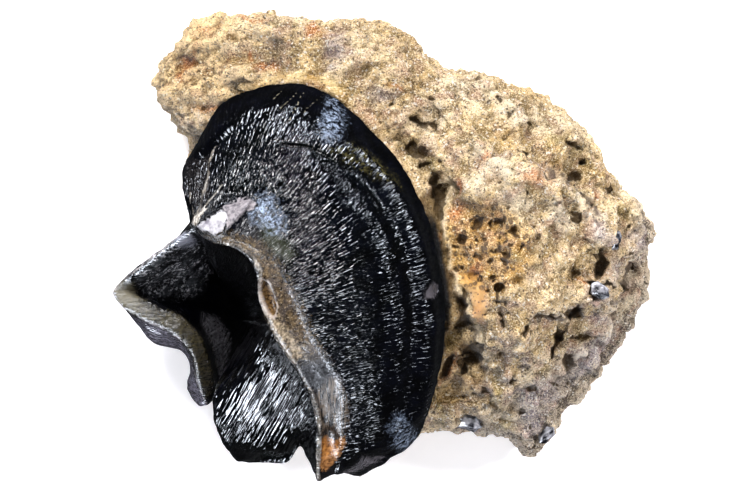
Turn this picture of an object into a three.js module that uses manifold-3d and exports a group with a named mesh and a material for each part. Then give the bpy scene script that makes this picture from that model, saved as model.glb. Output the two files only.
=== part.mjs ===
// A fossil cheek tooth of a large hoofed mammal, lying in the loose piece of rock and jaw bone that holds it.
// Millimetres, +Z up. The part rests on the flat underside of the rock, and the tooth's crown looks up.
//
// The crown is two lofts joined in one solid. Each loft runs along a few feature lines of the tooth: the gum
// line, the swelling above it, the shoulder, the rib, the worn crest, the valley wall and so on. The rock is
// a ball pushed out to an outline and to spot heights, with bumps, hollows, bone pores and a socket.
import * as THREE from 'three';
import { ConvexGeometry } from 'three/addons/geometries/ConvexGeometry.js';
import { mergeVertices } from 'three/addons/utils/BufferGeometryUtils.js';
import Module from 'manifold-3d';

const wasm = await Module();
wasm.setup();

// ---------------------------------------------------------------- driving dimensions

const WELD = 1e-4; // corners closer than this are one
const SOCKET_GAP = 0.35; // between the tooth or a chip and the rock around it
const CROWN_SECTIONS = 37; // sections along the outer lobe
const CUSP_SECTIONS = 26; // sections along the inner cusp

const ROCK_CENTRE = [3, 1.2]; // the outline is star-shaped about this point
const ROCK_FACETS = 14; // subdivisions of the ball that becomes the rock
const ROCK_TABLE = 6; // how far out the top stays level: 2 is a dome, more is a table
const ROCK_FLANK = 0.3; // how steeply the flanks fall: less is steeper
const ROCK_BELLY = 2.6; // the same as ROCK_TABLE, for the underside
const ROCK_UNDERSIDE = -2.8; // how far the belly would reach below the resting face
const OUTWARD_GRAIN = 0.2; // the grain pushes the flanks out by no more than this
const OUTLINE_STEPS = 6; // steps between one outline point and the next
const SPOT_SOFTNESS = 0.15; // rounds the top at each spot height
const SPOT_FALL = 1.75; // how fast a spot height loses its hold with distance
const ROCK_TALLEST = 60; // any height above the rock's top
const COARSE_GRAIN = { size: 7.5, height: 1.0 };
const FINE_GRAIN = { size: 3.2, height: 0.55 };
const PORE = { depth: 1.1, radius: 0.55, spread: 0.3 };

// ---------------------------------------------------------------- materials

const enamel = () => new THREE.MeshStandardMaterial({ color: 0x14161c, roughness: 0.22, metalness: 0 });
const sandstone = () => new THREE.MeshStandardMaterial({ color: 0xa88a5c, roughness: 0.92, metalness: 0 });
const splinter = () => new THREE.MeshStandardMaterial({ color: 0x23242b, roughness: 0.18, metalness: 0 });

// ---------------------------------------------------------------- solids

function toSolid(geometry) {
  const bare = geometry.clone();
  bare.deleteAttribute('normal');
  bare.deleteAttribute('uv');
  const merged = mergeVertices(bare, WELD);
  return new wasm.Manifold(
    new wasm.Mesh({
      numProp: 3,
      vertProperties: Float32Array.from(merged.attributes.position.array),
      triVerts: Uint32Array.from(merged.index.array),
    }),
  );
}

function toGeometry(solid) {
  const { numProp, vertProperties, triVerts } = solid.getMesh();
  const count = vertProperties.length / numProp;
  const positions = new Float32Array(count * 3);
  for (let i = 0; i < count; i++) {
    for (let axis = 0; axis < 3; axis++) positions[3 * i + axis] = vertProperties[numProp * i + axis];
  }
  const geometry = new THREE.BufferGeometry();
  geometry.setAttribute('position', new THREE.BufferAttribute(positions, 3));
  geometry.setIndex([...triVerts]);
  geometry.computeVertexNormals();
  return geometry;
}

// The largest of the separate lumps that a cut can leave.
function largestPiece(solid) {
  return solid.decompose().reduce((best, piece) => (piece.volume() > best.volume() ? piece : best));
}

// The same surface moved out along its normals by a clearance.
function swollen(solid, clearance) {
  const geometry = toGeometry(solid);
  const { position, normal } = geometry.attributes;
  for (let i = 0; i < position.count; i++) {
    position.setXYZ(
      i,
      position.getX(i) + clearance * normal.getX(i),
      position.getY(i) + clearance * normal.getY(i),
      position.getZ(i) + clearance * normal.getZ(i),
    );
  }
  return toSolid(geometry);
}

// A ball stretched to three radii, turned about Z and tilted, and put in place.
function blob({ at, radii, turn = 0, tilt = 0, facets = 2 }) {
  const geometry = new THREE.IcosahedronGeometry(1, facets);
  geometry.scale(...radii);
  geometry.rotateY(THREE.MathUtils.degToRad(tilt));
  geometry.rotateZ(THREE.MathUtils.degToRad(turn));
  geometry.translate(...at);
  return toSolid(geometry);
}

// A flat-faced flake: the corners of its top, and how deep it goes.
function flake({ top, depth }) {
  const corners = [0, depth].flatMap((drop) => top.map(([x, y, z]) => new THREE.Vector3(x, y, z - drop)));
  return toSolid(new ConvexGeometry(corners));
}

// ---------------------------------------------------------------- noise

const MIXERS = [374761393, 668265263, 873357470, 1274126177]; // large numbers that scramble a lattice point

// A fixed random value from 0 to 1 for each lattice point.
function lattice(x, y, z) {
  let bits = Math.imul(x, MIXERS[0]) ^ Math.imul(y, MIXERS[1]) ^ Math.imul(z, MIXERS[2]);
  bits = Math.imul(bits ^ (bits >>> 13), MIXERS[3]);
  return ((bits ^ (bits >>> 16)) >>> 0) / 2 ** 32;
}

// Smooth noise from -1 to 1, with lumps about `size` across.
function grain(x, y, z, size) {
  const cell = [x, y, z].map((value) => Math.floor(value / size));
  const ease = [x, y, z].map((value, axis) => THREE.MathUtils.smoothstep(value / size - cell[axis], 0, 1));
  let total = 0;
  for (let corner = 0; corner < 8; corner++) {
    const step = [corner & 1, (corner >> 1) & 1, corner >> 2];
    const weight = step.reduce((product, on, axis) => product * (on ? ease[axis] : 1 - ease[axis]), 1);
    total += weight * lattice(cell[0] + step[0], cell[1] + step[1], cell[2] + step[2]);
  }
  return 2 * total - 1;
}

// ---------------------------------------------------------------- lofts along feature lines

const catmull = (a, b, c, d, t) =>
  0.5 * (2 * b + (c - a) * t + (2 * a - 5 * b + 4 * c - d) * t * t + (3 * b - a - 3 * c + d) * t * t * t);

const between = (a, b, c, d, t) => a.map((_, axis) => catmull(a[axis], b[axis], c[axis], d[axis], t));

const beyond = (from, over) => over.map((value, axis) => 2 * value - from[axis]);

// The point at u, 0 to 1, on a smooth line through the given points.
function alongLine(points, u) {
  const last = points.length - 1;
  const i = Math.min(Math.floor(u * last), last - 1);
  const before = points[i - 1] ?? beyond(points[i + 1], points[i]);
  const after = points[i + 2] ?? beyond(points[i], points[i + 1]);
  return between(before, points[i], points[i + 1], after, u * last - i);
}

// A closed ring through the given points, smooth except at the corners, with `sides` steps after each point.
function ringThrough(points, corners, sides) {
  const n = points.length;
  const at = (i) => points[(i + n) % n];
  const ring = [];
  for (let i = 0; i < n; i++) {
    const before = corners.includes(i) ? beyond(at(i + 1), at(i)) : at(i - 1);
    const after = corners.includes((i + 1) % n) ? beyond(at(i), at(i + 1)) : at(i + 2);
    for (let k = 0; k < sides[i]; k++) ring.push(between(before, at(i), at(i + 1), after, k / sides[i]));
  }
  return ring;
}

// Feature lines are named lists of points, from the front end to the back end. `steps` gives the ring steps
// between each line and the next, and `crisp` the lines that stay a sharp edge.
function loft({ lines, steps, crisp, sections }) {
  const names = Object.keys(lines);
  const sides = names.map((name) => steps[name]);
  const corners = crisp.map((name) => names.indexOf(name));
  const positions = [];
  for (let s = 0; s < sections; s++) {
    const points = names.map((name) => alongLine(lines[name], s / (sections - 1)));
    positions.push(...ringThrough(points, corners, sides));
  }
  const around = sides.reduce((sum, value) => sum + value, 0);
  const index = [];
  for (let s = 0; s + 1 < sections; s++) {
    for (let k = 0; k < around; k++) {
      const a = s * around + k;
      const b = s * around + ((k + 1) % around);
      index.push(a, b, b + around, a, b + around, a + around);
    }
  }
  const addCap = (start, inward) => {
    const ring = positions.slice(start, start + around);
    const centre = [0, 1, 2].map((axis) => ring.reduce((sum, point) => sum + point[axis], 0) / around);
    const hub = positions.push(centre) - 1;
    for (let k = 0; k < around; k++) {
      const a = start + k;
      const b = start + ((k + 1) % around);
      index.push(...(inward ? [hub, b, a] : [hub, a, b]));
    }
  };
  addCap(0, true);
  addCap((sections - 1) * around, false);
  const geometry = new THREE.BufferGeometry();
  geometry.setAttribute('position', new THREE.Float32BufferAttribute(positions.flat(), 3));
  geometry.setIndex(index);
  return geometry;
}

// ---------------------------------------------------------------- the tooth

// The outer lobe, from the front end at the upper left to the back pillar at the bottom.
const outerLobe = {
  sections: CROWN_SECTIONS,
  crisp: ['crest', 'cervix'],
  steps: {
    cervix: 3, cingulum: 4, shoulder: 4, rib: 3, crest: 3, innerWall: 3, lobe: 3, lobeEdge: 4, base: 5,
  },
  lines: {
    cervix: [
      [-22.7, 10.9, 17], [-20.4, 14.7, 20], [-17.4, 18.2, 22], [-10.6, 20, 22.5], [-4.6, 18, 23.5],
      [1.6, 12, 24], [5.9, 5, 24], [8, -3.6, 24], [8.3, -10.3, 23.5], [7, -17.2, 22.5],
      [5.2, -22.3, 20.5], [2.1, -25.3, 18], [-1.8, -27.5, 15],
    ],
    cingulum: [
      [-22.9, 9.4, 20], [-19.9, 11.9, 24.5], [-16.2, 15.6, 26.5], [-10, 16.8, 28], [-5.5, 14.4, 29.3],
      [-1.1, 9.4, 29.8], [3.4, 2.6, 29.7], [5.2, -4.7, 29.3], [5.7, -11.3, 28.7], [4.7, -16.9, 27.5],
      [3.2, -21.5, 25.8], [1.2, -24.2, 23], [-2.8, -26.9, 19],
    ],
    shoulder: [
      [-22.6, 7.2, 23.5], [-19.8, 8.8, 28], [-15.1, 10.5, 30.8], [-10.8, 10.4, 32.5], [-6.6, 8.1, 33.5],
      [-3.5, 4, 34], [-0.6, -1.2, 34], [0.6, -6.3, 33.5], [1.2, -11.6, 32.5], [1.2, -16.8, 31],
      [0.6, -21, 29], [-0.8, -23.9, 25.8], [-3.8, -26.7, 22],
    ],
    rib: [
      [-22.1, 5, 26], [-20.1, 5.8, 30], [-16.2, 5.2, 32.5], [-13, 4, 34], [-10.3, 1.7, 35],
      [-8, -1.7, 35.5], [-7.2, -5.7, 35.5], [-6.5, -9.8, 35], [-5.4, -13.2, 33.8], [-4, -16.8, 32.3],
      [-3.7, -20.4, 30.3], [-3.9, -24, 27.5], [-5.2, -26.8, 24],
    ],
    crest: [
      [-21.7, 3.1, 28.5], [-20.8, 2.8, 31.5], [-18.9, 1.9, 33.3], [-16.5, 0.6, 34.5], [-14.3, -0.9, 35.5],
      [-13.3, -3.4, 36], [-12.7, -6.3, 36], [-11.2, -9.4, 35.5], [-9.1, -12.9, 34.2], [-7.3, -16.2, 32.8],
      [-6.6, -19.8, 31], [-6.6, -23.7, 28.5], [-6.7, -27.5, 25],
    ],
    innerWall: [
      [-21.8, 2.6, 22], [-20.7, 1.7, 25], [-19.4, 0, 27], [-17.5, -1.4, 28], [-15.6, -2.9, 28.5],
      [-14.4, -4.7, 28], [-13.7, -7.3, 28], [-13, -10.5, 30], [-11.6, -13.9, 29.5], [-10.3, -17.1, 28],
      [-9.6, -20.8, 26], [-9, -23.7, 22.5], [-8.1, -25.7, 20],
    ],
    lobe: [
      [-21.7, 2.2, 17], [-20.4, 0.5, 17], [-19.5, -1.9, 17], [-18, -4.2, 17], [-16.6, -5.8, 16],
      [-15.7, -7.5, 15], [-15.2, -9.5, 16], [-15.2, -12, 22.5], [-16.1, -15, 26], [-15.6, -18.1, 26.5],
      [-14.6, -21.4, 25.5], [-13.6, -23.9, 22], [-10.9, -24.9, 17],
    ],
    lobeEdge: [
      [-21.5, 2.2, 11], [-19.9, 0, 9], [-18.7, -2.7, 8], [-17.3, -5, 7], [-16, -6.8, 7],
      [-15.3, -8.4, 7], [-15.5, -10.4, 8], [-17.1, -13.8, 12.5], [-18.7, -16.8, 17], [-19.2, -19.1, 19],
      [-18.7, -22.3, 19], [-17, -25.2, 16.5], [-16, -25.8, 14],
    ],
    base: [
      [-21.1, 5, 8], [-18.7, 1.9, 5], [-15.6, 0, 4], [-12.5, -2.5, 3], [-9.4, -5, 2.5],
      [-6.9, -6.9, 2.5], [-5.7, -8.8, 2.5], [-5.7, -11.9, 2.5], [-6.3, -15.1, 2.5], [-6.9, -18.2, 3],
      [-6.9, -20.9, 4], [-7.2, -22.7, 6], [-7.8, -23.4, 9],
    ],
  },
};

// The inner cusp, along its crescent crest: from where it meets the outer lobe, round the tip, to the mouth
// of the valley.
const innerCusp = {
  sections: CUSP_SECTIONS,
  crisp: ['crest', 'wornEdge'],
  steps: { crest: 4, wall: 3, heel: 4, base: 2, foot: 4, inner: 3, wornEdge: 2 },
  lines: {
    crest: [
      [-20.9, 3, 26], [-24.9, 0.4, 22.5], [-28.2, -2.2, 20], [-30.5, -3.9, 18.7], [-31.6, -5.2, 18],
      [-30.5, -6.6, 18.5], [-28, -8.1, 19], [-25.1, -9.3, 19.5], [-22.7, -11.3, 19], [-21.6, -13.8, 17.5],
      [-21.2, -16.5, 15], [-20.4, -18.6, 13],
    ],
    wall: [
      [-21.8, 3.6, 17], [-25.2, 0.5, 14], [-28.3, -1.7, 12], [-30.1, -3.4, 11], [-30.9, -5.2, 10],
      [-30.4, -6.9, 10], [-29.2, -9.1, 10.5], [-27.2, -11.6, 10], [-23.8, -12.3, 9.5], [-22.8, -14.6, 9.5],
      [-23.3, -17, 9], [-21.7, -19.4, 9],
    ],
    heel: [
      [-21.5, 4.5, 8], [-23.7, 1.2, 6], [-24.6, -1.5, 4], [-25.4, -3.8, 3.5], [-25.7, -5.6, 3],
      [-25.5, -7, 3], [-24.7, -9, 3], [-23.5, -10.3, 3], [-22.4, -12.3, 3.5], [-21.6, -14.5, 4],
      [-20.8, -16.7, 5], [-20.3, -18.4, 5.5],
    ],
    base: [
      [-17.9, 3.3, 5], [-16.9, -0.6, 3], [-15.1, -4.4, 2], [-14.2, -6.3, 2], [-14, -7.8, 2],
      [-14, -9.1, 2], [-14.2, -10.6, 2], [-14.7, -12.1, 2], [-15.4, -13.8, 2.5], [-16.2, -15.6, 3],
      [-17.1, -17.3, 4], [-18.3, -18.5, 5],
    ],
    foot: [
      [-19.2, 1.4, 12], [-18.9, -1.5, 9], [-17.8, -4.3, 7], [-16.8, -6.2, 6], [-16.3, -7.7, 5.5],
      [-16.1, -9, 5.5], [-16.1, -10.2, 5.5], [-16.6, -11.5, 6], [-17.3, -13.1, 6.5], [-18, -14.9, 7],
      [-18.7, -16.9, 7], [-19.5, -18.4, 7],
    ],
    inner: [
      [-20.7, 1.4, 20], [-22.7, -1.5, 16], [-24, -3.4, 14], [-25.6, -4.5, 14], [-26.5, -5.5, 14],
      [-25.6, -6.3, 14], [-23.7, -7.2, 14.5], [-22, -8.3, 14.5], [-20.8, -10.3, 13.5], [-20.2, -12.9, 12],
      [-20.1, -15.7, 10.5], [-20, -18.2, 10],
    ],
    wornEdge: [
      [-20.8, 2.3, 25], [-24.4, -0.4, 21.8], [-27.4, -2.6, 19.5], [-29.3, -4, 18.4], [-30.4, -4.9, 17.9],
      [-29, -5.5, 18.2], [-26.3, -6.6, 18.6], [-23.3, -8.2, 18.9], [-21.2, -10.1, 18.2], [-20.1, -12.8, 16.7],
      [-19.6, -15.6, 14.4], [-19.6, -18.1, 12.3],
    ],
  },
};

// The enamel flake on the front shoulder, the lens-shaped pit in the crest and the break in the back pillar.
const shoulderFlake = {
  top: [
    [-20.7, 2.5, 30.9], [-17.9, 4.9, 32.6], [-14.2, 5.9, 34], [-14.6, 5, 34.4], [-16.9, 2.5, 34.4],
    [-18.9, 1.7, 33.3],
  ],
  depth: 2.5,
};
const crestPit = { at: [-12.5, -5.6, 36.6], radii: [0.8, 2.4, 1.6], turn: 12 };
const pillarBreak = { at: [-5.2, -23.9, 29.8], radii: [1.5, 3.2, 2.2], turn: 6 };

function makeTooth() {
  return largestPiece(
    toSolid(loft(outerLobe))
      .add(toSolid(loft(innerCusp)))
      .add(flake(shoulderFlake))
      .subtract(blob(crestPit))
      .subtract(blob(pillarBreak)),
  );
}

// ---------------------------------------------------------------- the rock

// The outline seen from above, clockwise from the left, and how high the widest line of the flank runs there.
// The last stretch is hidden under the tooth.
const rockOutline = [
  [-26.7, 19, 11], [-26.5, 21.8, 11], [-26, 23.4, 11], [-24.8, 24.7, 12], [-22.9, 26, 12],
  [-22, 27.1, 12], [-20, 27.8, 12], [-17.8, 28.7, 13], [-15.8, 28.4, 13], [-13.7, 28.9, 13],
  [-11.5, 28.9, 13], [-10.6, 28.2, 13], [-8.5, 27.7, 13], [-5.8, 27.6, 13], [-4, 28.2, 13],
  [-1.2, 27.8, 13], [2.3, 26.6, 13], [5, 25, 13], [7.2, 23.3, 13], [9.6, 21.9, 13],
  [12.8, 21.6, 12], [15.6, 20.6, 12], [17.6, 19.5, 12], [19.9, 19.3, 11], [22.6, 17.7, 11],
  [25.3, 15.9, 11], [27.1, 13.2, 11], [28.1, 11.4, 10], [29.7, 10, 9], [29.8, 8.1, 9],
  [31.1, 6.3, 8], [32.9, 5.6, 8], [34.9, 3.4, 7], [35.5, 1.1, 6], [34, -1.5, 6],
  [34, -4.2, 6], [33.1, -7.1, 6], [31.4, -10.7, 6], [28.5, -14.8, 6], [25.2, -17.9, 6],
  [23.4, -20.8, 6], [21.3, -24.5, 6], [19.5, -25.7, 6], [17.8, -23.9, 6], [14.7, -22.9, 7],
  [9.8, -22.2, 8], [6.1, -22.8, 8], [3.1, -24.4, 6], [-4.4, -24.4, 5], [-10.6, -23.7, 5],
  [-15.3, -21.7, 4], [-16.8, -17.4, 4], [-16.6, -12.4, 3], [-17.3, -7.5, 3], [-19.3, -2.2, 4],
  [-21.8, 4.4, 6], [-22.8, 9, 8], [-23, 12.4, 9], [-23.3, 14.3, 9], [-25.3, 16.4, 10],
];

// Spot heights of the top: the knob at the far left, the ridge behind the tooth, the hollow beside it, the
// raised plate of bone, the end slopes, the groove along the tooth, and the bed under the tooth.
const rockHeights = {
  knob: [[-24.6, 21.2, 16.5], [-21.6, 23.8, 19.5], [-22.3, 18.6, 19.5], [-20.2, 15.9, 20.5]],
  ridge: [
    [-16.8, 26.4, 20], [-14.9, 22.9, 22.5], [-10.1, 25, 23.5], [-10.7, 19.8, 24], [-5.3, 24.3, 24],
    [-3.6, 19.1, 24.5], [-0.4, 22.3, 24.5], [3, 20.4, 25], [6.7, 17.5, 25],
  ],
  hollow: [[-0.8, 16.5, 24], [1.2, 12.3, 23.3], [4.8, 15.3, 24], [6.8, 7.2, 24], [4, 8.7, 23.5]],
  plate: [
    [8.7, 4.1, 24.5], [11.2, 7.6, 27.5], [17, 8.4, 28.5], [22.7, 6.5, 27.5], [27.4, 1.2, 22.5],
    [10.3, -0.6, 26.5], [11.7, -6.5, 26.5], [13.1, -11.2, 25.5], [14.1, -17.7, 21.5], [17, 0, 28.8],
    [20.4, -5.9, 27], [17.3, -10, 26.5], [14.7, -4.7, 27.8],
  ],
  lowerSlope: [
    [25.7, -6, 21.5], [22.4, -11.4, 21.5], [19.3, -15.6, 19], [20.6, -21.5, 11.5], [15.9, -21, 13],
    [11.6, -21.4, 13.5], [7.7, -20.9, 17.5], [11.4, -12.3, 19.5], [10, -17.5, 18.5], [12.6, -16.8, 19.5],
  ],
  upperSlope: [
    [7.7, 11.8, 25], [11.3, 17.8, 24], [15.4, 15.6, 24.5], [12.6, 11.8, 26.5], [19.7, 14.4, 21],
    [22.2, 10.7, 23.5], [25.6, 9.6, 19],
  ],
  end: [
    [27, 6, 20], [31, 4.6, 15], [33.7, 1.2, 11.5], [30.5, 0, 17], [32.6, -4.9, 11], [30.3, -9.8, 11.5],
    [27.7, -10.3, 15], [26.3, -13.7, 13], [23.9, -17.4, 12],
  ],
  groove: [[9.3, -1.4, 23.3], [9.6, -6, 23], [9.3, -11.5, 22], [8.5, -16.3, 21], [7.1, -19.1, 20]],
  bed: [
    [-9.2, 14.7, 13], [-3.1, 9.8, 13], [2.4, 1.2, 14], [4.3, -8.6, 13], [3.1, -19.6, 12],
    [-15.2, 12.2, 14], [-19.5, 10.4, 14], [-9.3, 0, 9], [-9.3, -12.4, 7], [-4.3, -21.1, 8],
    [-14.4, 0, 5], [-17.6, -6.3, 2.5], [-15.7, -18.8, 3], [-11.9, -23.7, 5],
  ],
};

// Bumps (positive) and hollows (negative) on the top: place, radius and height.
const rockRelief = [
  { at: [-24.2, 24], radius: 2.4, height: 1.6 },
  { at: [-25, 19.4], radius: 2, height: 1.4 },
  { at: [-22.9, 22.3], radius: 1.5, height: -2.6 },
  { at: [-19.3, 20.6], radius: 1.8, height: 1.1 },
  { at: [-12.5, 26.6], radius: 2.2, height: 1.2 },
  { at: [-7.6, 22.6], radius: 1.6, height: -1.2 },
  { at: [-1.8, 25.2], radius: 2, height: 1.3 },
  { at: [3.6, 23.4], radius: 1.7, height: 1.1 },
  { at: [2.8, 13.4], radius: 1.8, height: -2 },
  { at: [5.4, 15.8], radius: 1.6, height: -2 },
  { at: [7.6, 7], radius: 1.3, height: -1.8 },
  { at: [9, 19.6], radius: 2, height: 1.1 },
  { at: [17.7, 19], radius: 2.2, height: 1.6 },
  { at: [14.6, 12.4], radius: 1.7, height: -1.1 },
  { at: [27.8, 10.3], radius: 2, height: 2.6 },
  { at: [25.2, 5.2], radius: 1.5, height: -1.4 },
  { at: [31.7, 5.2], radius: 1.9, height: 2.8 },
  { at: [33.6, 1.4], radius: 1.8, height: 2.8 },
  { at: [30.8, 2.4], radius: 1.2, height: -1.6 },
  { at: [27.1, -1.4], radius: 1.5, height: -3.2 },
  { at: [29.6, -4.2], radius: 1.4, height: 1.2 },
  { at: [22.7, -9], radius: 1.8, height: -2 },
  { at: [21.6, -12.4], radius: 1.4, height: -2.2 },
  { at: [11.7, -12.3], radius: 1.6, height: -3.6 },
  { at: [10.2, -15.4], radius: 1.3, height: 1.2 },
  { at: [12.4, -18.6], radius: 1.5, height: 1.3 },
  { at: [8.4, -19.6], radius: 1.3, height: 1.1 },
  { at: [17.6, -18.4], radius: 1.6, height: -1.4 },
  { at: [20.8, -22.4], radius: 2, height: 1.4 },
];

// Pores of the spongy bone on the plate, in slanting rows.
const bonePores = [
  [11.6, 3.3], [14.1, 3.1], [16.6, 2.3], [18.6, 3.2], [9.9, 1.2], [12.4, 1.2], [14.8, 1.4], [17.3, 0.5],
  [10.6, -0.9], [13, -0.6], [15.4, -0.2], [19.4, 1.4], [11.4, -3], [13.7, -2.5], [16.2, -1.8],
  [12.3, -4.9], [14.7, -4.4], [16.9, -3.7],
];

// Splinters of tooth stuck in the rock, half sunk in its surface.
const chips = {
  chip_lower: { place: [11.2, -21.1], radii: [2.3, 1.1, 1], turn: -17 },
  chip_corner: { place: [21.2, -22.8], radii: [1.5, 0.9, 1], turn: 48 },
  chip_end: { place: [27, -4.9], radii: [1.6, 1, 0.9], turn: -35 },
  chip_edge: { place: [29.2, 1.2], radii: [0.8, 1.4, 0.9], turn: -8 },
};

// Distance from the centre to the outline, and the height of the flank's widest line, in a direction.
function outlineReader() {
  const curve = new THREE.CatmullRomCurve3(
    rockOutline.map(([x, y, z]) => new THREE.Vector3(x - ROCK_CENTRE[0], y - ROCK_CENTRE[1], z)),
    true,
    'centripetal',
  );
  const samples = curve
    .getPoints(OUTLINE_STEPS * rockOutline.length)
    .map(({ x, y, z }) => ({ angle: Math.atan2(y, x), reach: Math.hypot(x, y), height: z }))
    .sort((a, b) => a.angle - b.angle);
  return (angle) => {
    let high = samples.findIndex((sample) => sample.angle >= angle);
    if (high < 0) high = 0;
    const a = samples[(high + samples.length - 1) % samples.length];
    const b = samples[high];
    const turn = 2 * Math.PI;
    const span = (b.angle - a.angle + turn) % turn || 1;
    const t = ((angle - a.angle + turn) % turn) / span;
    return {
      reach: THREE.MathUtils.lerp(a.reach, b.reach, t),
      height: THREE.MathUtils.lerp(a.height, b.height, t),
    };
  };
}

// The height of the top at a place, weighing the spot heights by how near they are.
function topHeight(x, y) {
  let weights = 0;
  let total = 0;
  for (const [px, py, pz] of Object.values(rockHeights).flat()) {
    const weight = 1 / ((x - px) ** 2 + (y - py) ** 2 + SPOT_SOFTNESS) ** SPOT_FALL;
    weights += weight;
    total += weight * pz;
  }
  return total / weights;
}

function reliefHeight(x, y) {
  return rockRelief.reduce((sum, { at, radius, height }) => {
    const near = ((x - at[0]) ** 2 + (y - at[1]) ** 2) / radius ** 2;
    return sum + height * Math.exp(-near);
  }, 0);
}

function makeRockBody() {
  const geometry = new THREE.IcosahedronGeometry(1, ROCK_FACETS);
  const { position } = geometry.attributes;
  const readOutline = outlineReader();
  for (let i = 0; i < position.count; i++) {
    const ball = new THREE.Vector3().fromBufferAttribute(position, i);
    const flat = Math.min(Math.hypot(ball.x, ball.y), 1);
    const { reach, height: waist } = readOutline(Math.atan2(ball.y, ball.x));
    const top = ball.z > 0;
    const rise = (1 - flat ** (top ? ROCK_TABLE : ROCK_BELLY)) ** ROCK_FLANK;
    let x = ROCK_CENTRE[0] + ball.x * reach;
    let y = ROCK_CENTRE[1] + ball.y * reach;
    let z = top
      ? waist + (topHeight(x, y) + reliefHeight(x, y) - waist) * rise
      : waist + (ROCK_UNDERSIDE - waist) * rise;
    const rough =
      COARSE_GRAIN.height * grain(x, y, z, COARSE_GRAIN.size) +
      FINE_GRAIN.height * grain(x, y, z + COARSE_GRAIN.size, FINE_GRAIN.size);
    const outward = Math.min(rough, OUTWARD_GRAIN);
    x += outward * ball.x;
    y += outward * ball.y;
    z += rough * rise;
    position.setXYZ(i, x, y, z);
  }
  return toSolid(geometry);
}

function restingSlab() {
  const slab = new THREE.BoxGeometry(4 * ROCK_TALLEST, 4 * ROCK_TALLEST, ROCK_TALLEST);
  slab.translate(0, 0, ROCK_TALLEST / 2);
  return toSolid(slab);
}

// The height of the rock's surface, found by looking straight down on it.
function heightReader(solid) {
  const mesh = new THREE.Mesh(toGeometry(solid));
  const down = new THREE.Vector3(0, 0, -1);
  return (x, y) => {
    const caster = new THREE.Raycaster(new THREE.Vector3(x, y, ROCK_TALLEST), down);
    return caster.intersectObject(mesh)[0].point.z;
  };
}

function makeMatrix(rockBody, surface, tooth, chipSolids) {
  let rock = rockBody;
  for (const [x, y] of bonePores) {
    const radius = PORE.radius + PORE.spread * lattice(Math.round(10 * x), Math.round(10 * y), 0);
    rock = rock.subtract(blob({ at: [x, y, surface(x, y)], radii: [radius, radius, PORE.depth], facets: 0 }));
  }
  for (const chip of chipSolids) rock = rock.subtract(swollen(chip, SOCKET_GAP));
  return largestPiece(rock.subtract(swollen(tooth, SOCKET_GAP)));
}

// ---------------------------------------------------------------- the part

const toothSolid = makeTooth();
const rockBody = makeRockBody().intersect(restingSlab());
const rockSurface = heightReader(rockBody);
const chipSolids = Object.fromEntries(
  Object.entries(chips).map(([name, { place, radii, turn }]) => [
    name,
    blob({ at: [...place, rockSurface(...place)], radii, turn, facets: 0 }),
  ]),
);
const matrixSolid = makeMatrix(rockBody, rockSurface, toothSolid, Object.values(chipSolids));

const part = new THREE.Group();

function addMesh(name, solid, material) {
  const mesh = new THREE.Mesh(toGeometry(solid), material);
  mesh.name = name;
  part.add(mesh);
}

addMesh('tooth', toothSolid, enamel());
addMesh('matrix', matrixSolid, sandstone());
for (const [name, solid] of Object.entries(chipSolids)) addMesh(name, solid, splinter());

// The origin is under the middle of the whole part, on the surface it rests on.
const box = new THREE.Box3().setFromObject(part);
const middle = box.getCenter(new THREE.Vector3());
part.position.set(-middle.x, -middle.y, -box.min.z);

export default part;
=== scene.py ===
"""A fossil cheek tooth in its rock: the looks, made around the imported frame.

The tooth and the rock are fine copies of the two big CAD solids. Each copy is meshed evenly and then carved
in millimetres: wrinkles, worn bands and cracks on the tooth, grain, ledges and pores on the rock. Distances
to the drawn lines and patches are painted on the meshes, and the finishes read them.
"""

import bmesh
import bpy
import numpy as np
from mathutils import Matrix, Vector
from mathutils.bvhtree import BVHTree


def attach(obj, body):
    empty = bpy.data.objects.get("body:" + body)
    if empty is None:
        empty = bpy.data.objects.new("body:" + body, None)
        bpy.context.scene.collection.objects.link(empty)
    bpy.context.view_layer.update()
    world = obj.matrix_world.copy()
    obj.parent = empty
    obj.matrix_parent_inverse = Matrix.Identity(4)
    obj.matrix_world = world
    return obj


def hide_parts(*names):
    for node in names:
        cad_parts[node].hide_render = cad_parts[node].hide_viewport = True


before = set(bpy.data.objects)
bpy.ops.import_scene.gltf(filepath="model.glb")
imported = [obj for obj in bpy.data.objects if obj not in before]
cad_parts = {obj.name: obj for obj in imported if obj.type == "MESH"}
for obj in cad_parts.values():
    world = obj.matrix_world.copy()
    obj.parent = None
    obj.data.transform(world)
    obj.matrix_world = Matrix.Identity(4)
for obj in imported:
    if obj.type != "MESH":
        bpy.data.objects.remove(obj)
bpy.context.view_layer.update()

MM = 0.001

# ------------------------------------------------------------------ sizes, in millimetres of the frame

TOOTH_MESH = 0.285  # how fine each copy is meshed
ROCK_MESH = 0.34
CHIP_MESH = 0.12
SEAM = 0.04  # what is left of the gap between the rock and the tooth
SEAM_REACH = 0.9  # rock nearer than this to the tooth is drawn up to it
FAR = 3.0  # the drawn distances stop counting here

# Relief carved on the tooth.
SWELL = 0.06  # all over, so the carving doesn't thin it
FOLD_HEIGHT = 0.070  # the wrinkles
BAND_DEPTH = 0.20  # the worn band, with the crest and the pit on its edge
CREST_HEIGHT = 0.22
PIT_DEPTH = 0.9
CRACK_DEPTH = 0.45
CRACK_WIDTH = 0.16
GROOVE_DEPTH = 0.30  # along the girdle, with the rim beside it
RIM_HEIGHT = 0.50
NOTCH_DEPTH = 1.2
LIP_DEPTH = 0.8
SHELF_HEIGHT = 3.4  # beside the front edge
REAR_DENT = 2.2

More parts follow.
